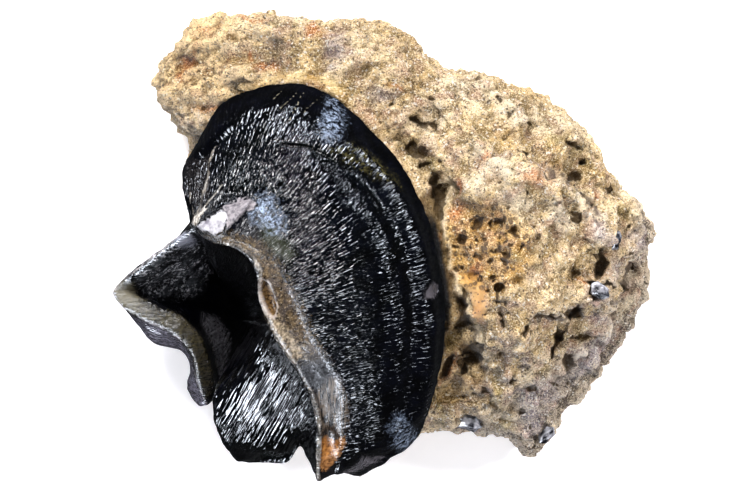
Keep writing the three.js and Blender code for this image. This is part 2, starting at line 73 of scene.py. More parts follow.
# Relief carved on the rock.
COARSE_HEIGHT = 0.45
CRAG_HEIGHT = 0.26
STRATA_HEIGHT = 0.45
PLATE_HEIGHT = 0.30
CRUMB_HEIGHT = 0.62
BIT_HEIGHT = 0.42  # crumbs of half the size
HOLE_DEPTH = 0.70
CLEFT_DEPTH = 1.1
PORE_DEPTH = 0.8
WEDGE_DEPTH = 1.3  # the low ground between the plate of bone and the tooth

# Lines on the tooth, seen from above.
CREST = [
    (-23.4, 2.3), (-22.4, 1.5), (-21.4, 0.7), (-20.0, 0.2), (-18.6, -0.0), (-17.2, -0.4), (-16.1, -1.2),
    (-15.3, -2.1), (-14.8, -3.3), (-14.6, -5.9), (-14.1, -8.5), (-12.9, -10.6), (-11.1, -13.4), (-9, -17.2),
    (-8.1, -20.5), (-8.2, -24.4), (-8.4, -28.2)]
DENTINE_EDGE = [
    (-20.5, 1.3), (-17.2, 0.9), (-14.6, 0), (-13, -2.1), (-11.4, -4.7), (-10, -7.8), (-8.9, -10.5),
    (-7.3, -13.2), (-5.7, -15.5), (-5.1, -18.1), (-5.4, -21.7), (-6, -25.7)]
CRACK = [
    (-13.1, 12), (-12.5, 11.6), (-11.7, 11.4), (-10.3, 11.4), (-8.9, 11.1), (-7.8, 10.6), (-6.5, 10),
    (-5.4, 9.3), (-4.3, 8.6)]
GIRDLE = [
    (-7.8, 10.6), (-5.1, 9), (-2, 5.7), (0.5, 1.4), (2, -3.7), (2.6, -8.9), (2.2, -14.2), (1.3, -18.9)]
FRONT_EDGE = [(-20.4, 11.5), (-21, 9.2), (-21.3, 6.9), (-21.9, 4.5), (-22.8, 2.4)]
NOTCH = [(-22.6, 10.6), (-21.5, 11.1), (-20.9, 11.9), (-20, 12.6), (-19.2, 13.3), (-18.7, 13.7)]
BACK_LIP = [(-3.3, -25.2), (-2.7, -25.6), (-1.7, -25.8), (-0.8, -25.8), (0.2, -25.5), (0.7, -25.1)]
CUSP_OUTER = [
    (-23.2, 2.1), (-26.5, -0.4), (-29.8, -2.9), (-32.1, -4.6), (-33.2, -5.9), (-32.1, -7.4), (-30.4, -8.7),
    (-27.6, -9.8), (-25.2, -11.3), (-23.9, -13.5), (-23, -17.2), (-22.2, -19.7)]
CUSP_INNER = [
    (-28.8, -6.8), (-27.5, -7.4), (-25.1, -8.9), (-23.1, -10.9), (-22.1, -13.6), (-21.6, -16.6),
    (-21.5, -18.9)]
# Thin bright lines along edges beside the front facet: painted highlights.
THREADS = [[(-22.4, 2.9), (-21.4, 4.2), (-20.5, 5.3), (-19.8, 6), (-19.3, 6.9)],
           [(-23.4, 6), (-23.1, 4.7), (-22.8, 3.5), (-22.6, 2.2)]]
HAIRS = [[(-10, 17.8), (-10.5, 17.1), (-10.7, 16.3), (-11.3, 15.3), (-11.6, 14.4)],
         [(-7.8, 17.7), (-8.7, 16.7), (-9.7, 15.8), (-10, 15.1)],
         [(-10.9, 17.7), (-11.5, 17), (-12.3, 16.2), (-12.8, 15.8)],
         [(-12.7, 17.9), (-13.3, 17.4), (-13.7, 17)]]
WRINKLE_FAN = (-23.5, -10.6)  # the wrinkles of the dome spread from here
FAN_RADIUS = 21.0  # and have their true spacing this far out
FAN_TILT = 14  # degrees
LOBE_LEAN = 60  # degrees, the run of the wrinkles on the small lobe
CUSP_EDGE = -20.5  # the inner cusp lies to the left of this
LOBE_EDGE = -9.5  # the small lobe lies below this, seen from above

# Patches on the tooth, seen from above.
FACET = [
    (-22.4, 1.7), (-21.7, 2.5), (-21, 2.8), (-20.2, 3.3), (-19.5, 3.8), (-19, 3.7), (-18.7, 3.2), (-19, 2),
    (-19.4, 1.5), (-20.2, 0.9), (-21.3, 1), (-22, 1.3)]
SLIVER = [
    (-19.2, 4.1), (-18.3, 4.8), (-17.2, 5.3), (-16.1, 5.2), (-15.4, 4.7), (-15.5, 4.1), (-16.4, 3.7),
    (-17.2, 3), (-18.3, 2), (-18.8, 1.7), (-18.8, 2.8)]
TIP_PALE = [(-22.8, 1.5), (-23, 2.3), (-22.5, 3), (-21.5, 4.1), (-21.1, 4), (-22, 3), (-22.3, 2)]
# Blue-white chalky patina on the enamel, partly painted glints where its wrinkles catch the light.
CHALK = [[(-15.9, 3.4), (-15.4, 4.6), (-14.6, 5.3), (-13.8, 5.3), (-13.1, 4.5), (-13.1, 3.4), (-12.3, 2.5),
          (-12.6, 1.3), (-13.8, 1.6), (-14.7, 2.5), (-15.5, 2.7)],
         [(-7.1, 17), (-6.2, 16.8), (-5.7, 15.4), (-5.4, 14.2), (-5.9, 12.8), (-7.1, 12.1), (-7.8, 13),
          (-7.6, 14.7), (-7, 15.4)],
         [(0.2, -21.6), (1.1, -20.4), (1.9, -21.6), (2.6, -22.5), (3.4, -23.1), (2.6, -24.3), (1.4, -24.7),
          (0.7, -23.8), (0.9, -22.6)]]
GREENISH = [
    (-14.7, 2.5), (-13.6, 2), (-12.6, 0.9), (-11.5, 0), (-10.8, -1.4), (-11.9, -2.1), (-13.6, -1),
    (-14.7, 0.4)]
PILLAR = [
    (-8.5, -17.4), (-6.8, -15.6), (-5.9, -15.8), (-5, -17.7), (-4.6, -20.4), (-5.3, -22.7), (-6.8, -23.4),
    (-7.8, -22.9), (-8.2, -20.4)]
STAIN = [
    (-8, -23), (-7.5, -22.6), (-6.4, -23.2), (-5.2, -22.6), (-5.1, -23.6), (-5.7, -24.7), (-6.5, -25.9),
    (-7.2, -26.7), (-7.8, -26.8), (-8.1, -25.9), (-7.9, -24.6)]
# The grey patch, the rear bands and the fleck carry grey painted reflections on the enamel; the grey patch
# is partly wear.
GREY_PATCH = [
    (-7.8, -16.5), (-7.1, -15.3), (-6.4, -14.9), (-5.7, -15.5), (-5.4, -16.7), (-5.9, -17.7), (-6.8, -17.7)]
REAR = [
    (-9, -26.2), (-8.1, -27.9), (-6.4, -27.7), (-4.7, -26.5), (-3.2, -25.6), (-1, -25.7), (0.4, -25.2),
    (-0.5, -26.2), (-2.7, -26.9), (-4.9, -28.4), (-8.3, -29.5), (-9.3, -28.6)]
FLECK = [(4.9, -4.4), (5.6, -4.8), (5.8, -5.7), (5.3, -6.2), (4.9, -6.5), (4, -6.4), (4, -5.6), (4.4, -5)]
CUSP_BAND = [
    (-33.4, -5.6), (-32.7, -4.7), (-31.7, -4.5), (-30.7, -4.7), (-30.1, -6.3), (-28.8, -7.5), (-27.6, -8.2),
    (-26.2, -8.4), (-24.6, -8.8), (-23.4, -9.8), (-22.4, -11.4), (-21.8, -13.1), (-21.3, -15.5),
    (-21.6, -17.7), (-22.4, -18.9), (-23, -17.1), (-23.3, -15.3), (-24, -13.1), (-24.7, -11.9),
    (-25.9, -10.8), (-27.6, -9.9), (-29.4, -9.2), (-30.8, -8.6), (-32.5, -7.2)]
CUSP_SPECKLED = [
    (-30.1, -2.2), (-27, 0.5), (-24, 1), (-22.2, -0.3), (-22.2, -3.2), (-23.4, -5.6), (-26.4, -6.8),
    (-28.8, -6.3), (-30.1, -5)]
MOSS = [
    (-6.9, 11.2), (-4.6, 11.5), (-2, 10.1), (0.7, 7.9), (1.5, 6.2), (-0.5, 6.9), (-2.8, 8.4), (-5.1, 9.8)]
# A grey-lavender painted reflection on a facet of the cusp.
CUSP_GLOW = [(-25.6, 0.6), (-24.4, 1.3), (-23.3, 0.9), (-22.9, 0.2), (-23.6, -0.5), (-25, -0.4)]
CUSP_SLATE = [
    (-23.0, -8.6), (-21.4, -9.0), (-20.2, -10.4), (-19.6, -12), (-20, -14.4), (-20.7, -16.9),
    (-21.2, -17.2), (-21.2, -14.8), (-21.8, -12.4), (-22.6, -10.4)]
CREST_PIT = [
    (-14.6, -4.2), (-13.9, -4.7), (-13.4, -5.9), (-13, -7.4), (-13.3, -8.6), (-13.9, -7.9), (-14.4, -6.5),
    (-14.7, -5.4)]
MOTTLED = [
    (-14.5, -7.8), (-13.4, -7.6), (-12.7, -8.8), (-11.6, -10.2), (-10.3, -12.1), (-9.8, -13.4),
    (-10.9, -13.2), (-12.4, -11.3), (-13.6, -9.6)]
CUSP_TIP = (-32.2, -6.2, 1.8, 1.5)  # place and half sizes
FRONT_FACE = [
    (-24.4, 9.7), (-22.8, 10.4), (-21.3, 11.2), (-20.9, 8.6), (-20.9, 5.8), (-21.9, 3.4), (-23.7, 5.8)]

# Pores of the bone: place, half sizes and, where there is one, turn in degrees.
BONE_PORES = [
    (10.7, 2.5, 0.5, 0.6, 15), (12, 2.4, 0.3, 0.5), (12.7, 2.5, 0.3, 0.4), (12.8, 1.6, 0.2, 0.6, -10),
    (12.6, 1, 0.3, 0.2), (13.6, 2.9, 0.3, 0.4), (14.5, 1.6, 0.4, 0.3), (13.8, 1.3, 0.2, 0.3),
    (14.9, 1, 0.3, 0.3, 20), (14.2, 0, 0.3, 0.3), (8.8, 0.7, 0.5, 0.4, 30), (7.9, -0.2, 0.3, 0.3, 30),
    (9.5, -0.6, 0.2, 0.2), (10.5, 0.4, 0.2, 0.4, -10), (11.3, 0.4, 0.2, 0.4, -10), (12, -0.6, 0.2, 0.2),
    (12.7, -0.8, 0.4, 0.4), (10.4, -1.6, 0.5, 0.4, -15), (12.1, -2, 0.3, 0.5), (13.8, -1.2, 0.5, 0.5, 30),
    (13.7, -2.2, 0.4, 0.6), (15.5, -0.6, 0.2, 0.4), (16.6, 0.6, 0.2, 0.2), (17.2, 1.8, 0.3, 0.2, 30),
    (17.1, 0.7, 0.2, 0.2), (8, -3.1, 0.3, 0.4, 45), (8.9, -2.9, 0.3, 0.2, 30), (10.7, -4.1, 0.5, 0.4, 20),
    (12.3, -3.9, 0.3, 0.2), (11.1, -5.5, 0.3, 0.2), (11.8, -4.6, 0.2, 0.1, 20), (16.7, 5.7, 0.3, 0.2, 30),
    (14.4, 4.1, 0.3, 0.2, -20), (13.8, -7.2, 0.3, 0.4, 30), (11.7, -8.2, 0.4, 0.15, 10)]

# Clefts and pits of the rock: place, half sizes, depth and, where there is one, turn.
CLEFTS = [
    (3.4, 14.6, 0.9, 0.4, 1.4, -20), (5.1, 14.2, 0.6, 0.3, 1, -30), (2.7, 11.3, 1.0, 0.6, 1.6, -40),
    (4, 10.9, 0.6, 0.6, 1.6, 30), (4.2, 9.4, 0.6, 0.4, 1.2), (5.5, 6.9, 0.45, 1.3, 1.6),
    (6, 4.3, 0.5, 1.4, 1.6), (16, 10.7, 0.5, 0.3, 1.4, -35), (13.2, 16.9, 0.7, 0.3, 0.7, -25),
    (23.8, 9.9, 0.3, 0.4, 1.2), (22.6, 12, 1.0, 0.3, 1, -40), (24.5, 4.3, 0.3, 0.4, 0.7),
    (14.4, 15.4, 0.4, 0.3, 0.6), (17.3, 14.5, 0.4, 0.3, 0.6), (19.6, 8, 1.1, 0.2, 0.6, -30),
    (5.1, 17.3, 0.4, 0.4, 0.8), (2.6, 19.4, 0.7, 0.4, 0.6, -45), (23.2, 8, 0.4, 0.3, 0.8),
    (27.3, 6.5, 0.4, 0.5, 0.9), (17.2, 18.4, 0.9, 0.2, 0.5, -10), (10.7, 20.1, 0.5, 0.2, 0.5),
    (15.4, 16.5, 0.3, 0.2, 0.5), (8.7, -5.9, 0.2, 0.8, 1, -20), (12.7, -6.4, 0.2, 1.1, 1.1, 5),
    (13.2, -9.5, 0.3, 1.0, 1.1, 5), (13.1, -5, 0.8, 0.2, 0.8, 25), (14.7, -4.4, 0.6, 0.15, 0.5, 35),
    (25.6, -2.5, 0.6, 1.3, 2.2), (27.1, 1.5, 0.7, 0.3, 0.8), (26.1, -4.9, 1.6, 0.2, 0.8, -5),
    (25, -5.7, 0.6, 0.9, 1.3, -30), (20.8, -11.4, 0.8, 0.8, 1.8, 20), (20, -13.1, 0.4, 1.2, 1.4, -15),
    (22.3, -8.4, 1.2, 0.4, 1.6, -10), (19.2, -8.7, 1.1, 0.25, 1.2, 4), (25.5, -8.1, 0.5, 0.5, 1),
    (22, -14.6, 0.6, 0.9, 1, 10), (17.6, -18.1, 0.9, 0.4, 0.9), (16.5, -10.4, 0.5, 0.4, 0.9),
    (18.2, -10.5, 0.3, 0.3, 0.6), (16.6, -14.9, 0.3, 0.2, 0.8), (23.7, -11.6, 1.5, 0.2, 0.6),
    (29.8, -1.1, 0.4, 0.3, 0.7, 45), (30.7, -3.2, 0.4, 0.5, 0.6), (29.3, -5.5, 0.7, 0.2, 0.6),
    (22.5, 3.1, 0.3, 0.6, 0.7), (23.1, -3.4, 0.5, 0.3, 0.6, -20), (16.5, -20.6, 0.3, 0.4, 0.7),
    (20.4, -17.3, 0.9, 0.2, 0.5, -30), (26.7, -14.8, 0.2, 0.7, 0.5, -35), (29.4, 2.2, 0.3, 0.2, 0.6),
    (10.2, -13.6, 0.9, 1.1, 2.4, 15), (9.2, -15.3, 0.5, 0.5, 1.4), (7, -14.5, 0.4, 1.6, 1.5, -25),
    (8.7, -9.6, 0.7, 1.3, 1.4), (8.3, -7.5, 0.4, 1.0, 1.3, 10), (11.8, -17.8, 0.2, 0.6, 0.9, 30),
    (14.8, -16.4, 0.5, 0.3, 0.8), (18, -18.3, 0.7, 0.2, 0.8, -10), (5.6, -20.5, 0.5, 0.4, 0.6, 40),
    (12.8, -20.4, 1.6, 0.15, 0.5, -3), (17.6, -22.5, 0.2, 0.4, 0.6, -10), (9.9, -18.1, 0.3, 0.2, 0.6),
    (9, -18.6, 0.5, 0.2, 0.5, 30), (-19.1, 22.2, 1.2, 0.2, 0.7), (-14.7, 21.2, 1.5, 0.5, 0.6, -15),
    (-6.8, 22.2, 0.9, 1.3, 0.8, 10), (-5.8, 24, 0.9, 0.9, 0.7), (-22.4, 16.4, 1.9, 0.4, 0.6, 3),
    (-24, 21.5, 0.3, 1.7, 0.9, -25), (-25, 20.4, 0.4, 0.6, 0.8), (-3.5, 24.9, 0.9, 0.2, 0.5, 15),
    (-11.2, 23.4, 0.4, 0.3, 0.6), (-16.1, 26.7, 0.6, 0.2, 0.5, 10), (-1.1, 21.5, 0.5, 0.3, 0.5),
    (-1.9, 19.3, 0.7, 0.4, 0.7), (0.7, 18.8, 1.0, 0.2, 0.7, -25), (0.2, 16.6, 0.4, 0.3, 0.8),
    (-1.7, 14.6, 1.1, 0.2, 0.5, -10), (-8.4, 25.1, 0.9, 0.4, 0.4), (-25.9, 15.7, 0.9, 0.7, 0.5, -45)]

# The plate of bone, the sleek places on it and the open gap beside it: place, half sizes and turn.
BONE_PLATE = (11.5, -0.5, 5.2, 5.6, 70)
SLEEK = [(10.5, -6.8, 1.0, 3.0, 8), (9.6, -4.4, 1.2, 1.4, 0)]
GAP_BESIDE_BONE = (6.8, -7.5, 1.6, 8.5, 4)

# The edge of the plate of bone; the rock between it and the tooth lies lower.
BONE_EDGE = [
    (6.3, 7.1), (6.2, 4.5), (6.4, 2.3), (6.9, -1), (7.6, -4.4), (8.5, -7), (9.6, -9.4), (10.4, -12),
    (11.3, -14.7), (12.3, -17.5), (13.6, -20)]

# Raised edges of the rock, each a line with its height and half width.
GOLDEN_EDGE = [
    (-15.6, 18.6), (-14.2, 19.4), (-12.4, 19.9), (-10.5, 20.1), (-8.6, 19.8), (-7, 19), (-6, 18.2)]
LEDGES = [
    (BONE_EDGE, 0.55, 0.35),
    ([(24.4, -4.0), (25.4, -4.6), (27, -4.7), (28.2, -4.2), (28.8, -3.4)], 0.9, 0.35),
    ([(20.2, 7.4), (22.5, 5.8), (24, 3.1), (25.2, -0.1)], 0.35, 0.5),
    ([(7.4, 7.1), (10.2, 6.6), (13.2, 7.1), (15.6, 7.8)], 0.3, 0.6),
    ([(9.7, 11.5), (12.3, 10.4), (13.2, 8.8), (15.6, 7.8), (18.6, 6.9)], 0.4, 0.6),
    ([(26.5, -12.2), (25.6, -13.4), (24.3, -14.4), (23.1, -17.3)], 0.4, 0.5),
    ([(6.4, -15.9), (5.5, -18.3), (4.8, -20.4), (4.7, -22.8)], 0.3, 0.5),
    (GOLDEN_EDGE, 0.45, 0.45)]

# Small steps of the rock: a line with lower ground on its right, the drop and how far that reaches.
STEPS = [
    ([(17.5, -17.4), (18.9, -16.6), (21.6, -16.1), (23.4, -13.9), (25, -13.1), (26.6, -12), (27.2, -10.8),
      (27.6, -8.8), (27, -7.2), (28.4, -6), (29, -4), (29.8, -2.4), (30.2, -0.6), (30.8, 1.3)], 0.8, 2.4),
    ([(26, -0.6), (25.4, 0.8), (24.2, 3.7), (22.6, 6.3), (20.2, 7.9), (17.8, 9)], 0.6, 1.8),
    ([(15.8, -9.3), (18.5, -8.8), (21, -8.5), (22.2, -7.9), (24, -8.1)], 0.7, 1.8)]

# Coloured patches of the rock: place, half sizes and, where there is one, turn.
RUST = [
    (-24.4, 21.9, 0.4, 1.8, -28), (-25.3, 20.4, 0.5, 0.5), (-16.9, 22.9, 0.2, 0.5),
    (-15.1, 21.2, 1.4, 0.4, -12), (-22, 16.3, 1.7, 0.4, 3), (-8.8, 18.8, 2.0, 0.3, -8),
    (-9, 25.3, 0.8, 0.6), (0.8, 18.7, 1.1, 0.2, -25), (8, 6.4, 0.4, 1.2), (11.7, 10.3, 0.5, 0.4),
    (17.5, 7.8, 1.1, 0.7, -20), (7.9, 3.7, 0.8, 0.7), (10.6, -7.5, 0.6, 1.7), (23.6, -4.4, 0.4, 0.4),
    (25.2, 5.8, 0.5, 0.4), (7.2, -14.8, 0.5, 1.5, -25), (10.3, -3.1, 0.4, 1.0), (6.1, 0.5, 0.2, 1.2),
    (-22.5, 25.9, 1.2, 0.5, 20), (-16.5, 27.1, 1.1, 0.5)]
OLIVE = [
    (2.6, 11.2, 1.1, 1.0), (5.2, 9.4, 0.6, 1.7, 20), (10.9, 12.7, 0.8, 0.7), (19.9, 12.9, 1.1, 0.6),
    (22.4, 12, 1.3, 0.5, -38), (23.9, 10, 0.5, 0.6), (23.2, 6.4, 1.1, 0.7), (28.3, 3.8, 1.3, 0.8, 10),
    (25.7, -1, 1.4, 0.5), (22.2, -11.5, 2.4, 0.5, -5), (19.5, -15.5, 0.8, 0.5), (13.3, -17.7, 0.7, 2.1),
    (14.1, -21.6, 1.1, 1.4), (6.5, -21, 0.5, 1.7, 10), (-19.2, 22.3, 1.2, 0.4), (-6, 18.4, 0.6, 0.4),
    (6.1, 4.6, 0.4, 1.4), (7, -3.7, 0.5, 0.7), (15.1, -1.7, 0.8, 0.6), (-2.2, 17.8, 0.6, 0.6),
    (7.1, -12.1, 0.6, 1.4, -20), (8.5, -10.3, 0.6, 1.2)]
VIOLET = [
    (-6.4, 23.3, 1.2, 1.9, 10), (-6.7, 21.3, 0.6, 0.6), (26.8, 0.5, 0.6, 1.1), (31.1, 0.5, 1.3, 1.7),
    (28, -3.4, 1.0, 1.4), (25.7, -6.7, 1.8, 1.0, -20), (26.3, -9.1, 1.2, 0.8),
    (24.4, -14.2, 1.4, 3.6, -32), (22.4, -14.7, 0.7, 1.2), (18.8, -18.1, 3.1, 1.7, 25),
    (14.3, -16.6, 0.7, 0.5), (16.6, -14.8, 0.7, 0.5), (11.8, -17.8, 0.5, 0.6), (25.4, 1.4, 1.0, 1.4),
    (17.9, -21.7, 1.7, 1.9), (26.8, -12.7, 1.0, 1.9, -35), (-0.9, 17.6, 1.4, 1.0)]
CREAM = [
    (13.3, 9.4, 3.1, 1.1, -14), (10.3, 7.6, 2.1, 0.7, 12), (20.4, 3.4, 1.4, 2.6, 30),
    (9.7, 18.9, 3.1, 1.7, -10), (3.7, 14.1, 1.7, 1.0), (6.1, 15.3, 1.4, 1.4), (-11.5, 19, 3.6, 0.4, 8),
    (-19.5, 23.3, 1.4, 1.0), (18, 14.7, 3.6, 1.2, -20), (26.3, -4.9, 1.7, 0.2),
    (29.9, -6.7, 1.0, 2.9, -10), (15.6, 4, 1.4, 1.9), (-3.9, 12.4, 0.7, 1.2, -30)]

# Where the camera stands: straight above the part.
CAMERA_PLACE = (-1.628, -0.765, 395.0)
CAMERA_LENS = 150.0
CAMERA_SENSOR = 36.0

# Finishes and light.
POLISH = 0.14  # roughness of sound enamel
# Painted shade in the pits and pores of the rock.
PORE_TINT = (0.10, 0.055, 0.020)
ROOM_LIGHT = 0.05
PAPER_GLOW = 0.33
WHITE = (0.98, 0.98, 1.0)
COOL = (0.84, 0.90, 1.0)

# Lamps, fills that the enamel doesn't mirror, and soft boxes seen in its gloss alone, which lay no
# shadows on the paper: place in metres, size and power.
LAMPS = {
    "key": ((-0.16, 0.38, 0.56), 0.20, 5.0),
    "back": ((-0.10, 0.60, 0.34), 0.13, 1.8)}
FILLS = {
    "right fill": ((0.52, 0.16, 0.44), 0.10, 2.8),
    "front fill": ((0.20, -0.48, 0.46), 0.20, 1.1),
    "sky": ((0, 0, 0.9), 0.8, 2.1)}
SOFT_BOXES = {
    "left box": ((-0.38, -0.49, 0.35), 0.46, 23.0),
    "shoulder box": ((-0.54, 0.42, 0.17), 0.18, 1.0),
    "back box": ((-0.08, 0.66, 0.20), 0.20, 4.0),
    "right box": ((0.66, 0.16, 0.19), 0.13, 0.45),
    "corner box": ((0.50, 0.45, 0.15), 0.18, 2.2),
    "front box": ((0.20, -0.56, 0.37), 0.20, 2.4),
    "paper glow": ((-0.44, -0.36, -0.10), 0.26, 3.6),
    "upper right box": ((0.30, 0.10, 0.60), 0.07, 0.2)}


# ------------------------------------------------------------------ numbers on points

def scramble(cells, seed):
    """A fixed random value from 0 to 1 for each row of whole numbers."""
    x, y, z = (cells[:, i].astype(np.int64) for i in range(3))
    bits = (x * 374761393 + y * 668265263 + z * 1274126177 + seed * 974634777) & 0xFFFFFFFF
    bits = ((bits ^ (bits >> 13)) * 1274126177) & 0xFFFFFFFF
    bits = ((bits ^ (bits >> 16)) * 668265263) & 0xFFFFFFFF
    return ((bits >> 8) & 0xFFFFFF) / float(0xFFFFFF)


def lumps(points, size, seed=0):
    """Smooth noise from -1 to 1 whose lumps are about size across."""
    scaled = points / np.asarray(size, float)
    cell = np.floor(scaled).astype(np.int64)
    ease = scaled - cell
    ease = ease * ease * ease * (ease * (ease * 6 - 15) + 10)
    total = np.zeros(len(points))
    for corner in range(8):
        step = np.array([corner & 1, (corner >> 1) & 1, corner >> 2])
        weight = np.prod(np.where(step, ease, 1 - ease), axis=1)
        total += weight * scramble(cell + step, seed)
    return 2 * total - 1


def rough(points, size, octaves=3, seed=0, keep=0.5):
    """Lumps with finer and finer lumps on them."""
    total = np.zeros(len(points))
    height = 1.0
    for octave in range(octaves):
        total += height * lumps(points, np.asarray(size, float) / 2 ** octave, seed + octave)
        height *= keep
    return total


def scattered(points, size, seed=0):
    """Distance to the nearest of scattered seeds, and that seed's random value."""
    scaled = points / size
    cell = np.floor(scaled).astype(np.int64)
    first = np.full(len(points), 9.0)
    value = np.zeros(len(points))
    for shift in np.ndindex(3, 3, 3):
        here = cell + np.array(shift) - 1
        place = here + columns(*(scramble(here, seed + k) for k in range(3)))
        away = np.linalg.norm(scaled - place, axis=1)
        value = np.where(away < first, scramble(here, seed + 5), value)
        first = np.minimum(first, away)
    return first * size, value


def columns(*values):
    """Points from their coordinates."""
    return np.stack(values, axis=1)


def ramp(values, low, high):
    """0 below low, 1 above high, eased between."""
    t = np.clip((values - low) / (high - low), 0, 1)
    return t * t * (3 - 2 * t)


def fade(values, low, high):
    """1 below low, 0 above high, eased between."""
    return 1 - ramp(values, low, high)


def hump(away, width):
    """1 where away is 0, falling off softly on both sides."""
    return np.exp(-(away / width) ** 2)


def stepped(values, step):
    """Values drawn together into steps, with steep risers between."""
    whole = np.floor(values / step)
    return step * (whole + ramp(values / step - whole, 0.3, 0.7))


def along_line(points, line):
    """Distance in plan from each point to a line, how far along it that is, 0 to 1, and on which side."""
    xy = points[:, :2]
    line = np.array(line, float)
    steps = line[1:] - line[:-1]
    travelled = np.concatenate([[0], np.cumsum(np.linalg.norm(steps, axis=1))])
    best = np.full(len(xy), 1e9)
    along = np.zeros(len(xy))
    side = np.zeros(len(xy))
    for i, (start, step) in enumerate(zip(line[:-1], steps)):
        t = np.clip(((xy - start) @ step) / (step @ step), 0, 1)
        gap = xy - (start + t[:, None] * step)
        away = np.linalg.norm(gap, axis=1)
        closer = away < best
        best = np.where(closer, away, best)
        reached = travelled[i] + t * (travelled[i + 1] - travelled[i])
        along = np.where(closer, reached / travelled[-1], along)
        side = np.where(closer, np.sign(step[0] * gap[:, 1] - step[1] * gap[:, 0]), side)
    return best, along, side


def to_lines(points, lines):
    """Distance in plan to the nearest of some lines."""
    return np.min([along_line(points, line)[0] for line in lines], axis=0)


def into_patch(points, outline):
    """How deep each point is inside an outline in plan; negative outside."""
    closed = list(outline) + [outline[0]]
    away = along_line(points, closed)[0]
    x, y = points[:, 0], points[:, 1]
    inside = np.zeros(len(points), bool)
    for (ax, ay), (bx, by) in zip(closed[:-1], closed[1:]):
        if ay != by:
            crosses = ((ay > y) != (by > y)) & (x < (bx - ax) * (y - ay) / (by - ay) + ax)
            inside ^= crosses
    return np.where(inside, away, -away)


def into_patches(points, outlines):
    return np.max([into_patch(points, outline) for outline in outlines], axis=0)


def spot(points, x, y, half_x, half_y, turn=0.0):
    """1 at a place in plan, half gone at its half sizes."""
    c, s = np.cos(np.radians(turn)), np.sin(np.radians(turn))
    dx, dy = points[:, 0] - x, points[:, 1] - y
    along, across = c * dx + s * dy, -s * dx + c * dy
    return np.exp2(-((along / half_x) ** 2 + (across / half_y) ** 2))


def spots(points, rows):
    """The strongest of some spots."""
    best = np.zeros(len(points))
    for row in rows:
        reach = 3 * max(row[2], row[3])
        near = (np.abs(points[:, 0] - row[0]) < reach) & (np.abs(points[:, 1] - row[1]) < reach)
        best[near] = np.maximum(best[near], spot(points[near], *row))
    return best


def below_top(points, cell=0.35):
    """How far each point lies below the highest point near it in plan."""
    place = np.round((points[:, :2] - points[:, :2].min(axis=0)) / cell).astype(int) + 1
    tops = np.full(place.max(axis=0) + 2, -1e9)
    np.maximum.at(tops, (place[:, 0], place[:, 1]), points[:, 2])
    return tops[place[:, 0], place[:, 1]] - points[:, 2]


# ------------------------------------------------------------------ meshes

class Skin:
    """The points of a mesh in millimetres, with their normals, and the values painted on them."""

    def __init__(self, piece):
        self.mesh = piece.data
        self.read()

    def read(self):
        flat = np.empty(len(self.mesh.vertices) * 3, np.float32)
        self.mesh.vertices.foreach_get("co", flat)
        self.points = flat.reshape(-1, 3).astype(float) / MM
        self.mesh.vertex_normals.foreach_get("vector", flat)
        self.normals = flat.reshape(-1, 3).astype(float)

    def write(self):
        self.mesh.vertices.foreach_set("co", (self.points * MM).astype(np.float32).ravel())
        self.mesh.update()
        self.read()

    def push(self, amount):
        """Moves each point along its normal."""
        self.points += self.normals * amount[:, None]
        self.write()

    def paint(self, **layers):
        for name, values in layers.items():
            if values.ndim == 1:
                self.mesh.attributes.new(name, "FLOAT", "POINT").data.foreach_set(
                    "value", np.clip(values, -FAR, FAR).astype(np.float32))
            else:
                self.mesh.attributes.new(name, "FLOAT_VECTOR", "POINT").data.foreach_set(
                    "vector", values.astype(np.float32).ravel())


def fine_copy(node, name, mesh_size, smooth=0):
    """An evenly meshed copy of a CAD node, in place, that rides with it and is shown instead of it."""
    form = bmesh.new()
    form.from_mesh(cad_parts[node].data)
    bmesh.ops.remove_doubles(form, verts=form.verts, dist=1e-6)
    bmesh.ops.scale(form, vec=(1 / MM, 1 / MM, 1 / MM), verts=form.verts)
    coarse = bpy.data.meshes.new(name)
    form.to_mesh(coarse)
    form.free()
    piece = bpy.data.objects.new(name, coarse)
    bpy.context.scene.collection.objects.link(piece)
    remesh = piece.modifiers.new("even", "REMESH")
    remesh.mode = "VOXEL"
    remesh.voxel_size = mesh_size
    even = bpy.data.meshes.new_from_object(piece.evaluated_get(bpy.context.evaluated_depsgraph_get()))
    piece.modifiers.clear()
    piece.data = even
    bpy.data.meshes.remove(coarse)
    even.name = name
    form = bmesh.new()
    form.from_mesh(even)
    for _ in range(smooth):
        bmesh.ops.smooth_vert(
            form, verts=form.verts, factor=0.5, use_axis_x=True, use_axis_y=True, use_axis_z=True)
    bmesh.ops.scale(form, vec=(MM, MM, MM), verts=form.verts)
    form.to_mesh(even)
    form.free()
    even.shade_smooth()
    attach(piece, "root")
    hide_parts(node)
    return piece


# ------------------------------------------------------------------ the tooth

def wrinkle_flow(points, lobe, cusp):
    """Coordinates across, along and up the enamel's wrinkles, in millimetres."""
    x, y, z = points[:, 0] - WRINKLE_FAN[0], points[:, 1] - WRINKLE_FAN[1], points[:, 2]
    tilt = np.radians(FAN_TILT)
    turn = np.arctan2(y, x) - tilt
    below = -x * np.sin(tilt) + y * np.cos(tilt)
    across = np.where(turn > 0, FAN_RADIUS * turn, below)
    along = np.where(turn > 0, np.hypot(x, y), x * np.cos(tilt) + y * np.sin(tilt))
    lean = np.radians(LOBE_LEAN)
    across = np.where(lobe, 0.80 * (-x * np.sin(lean) + y * np.cos(lean)), across)
    along = np.where(lobe, 0.35 * (x * np.cos(lean) + y * np.sin(lean)), along)
    across = np.where(cusp, y + 0.3 * z, across)
    along = np.where(cusp, x, along)
    return columns(across, along, 0.5 * z)


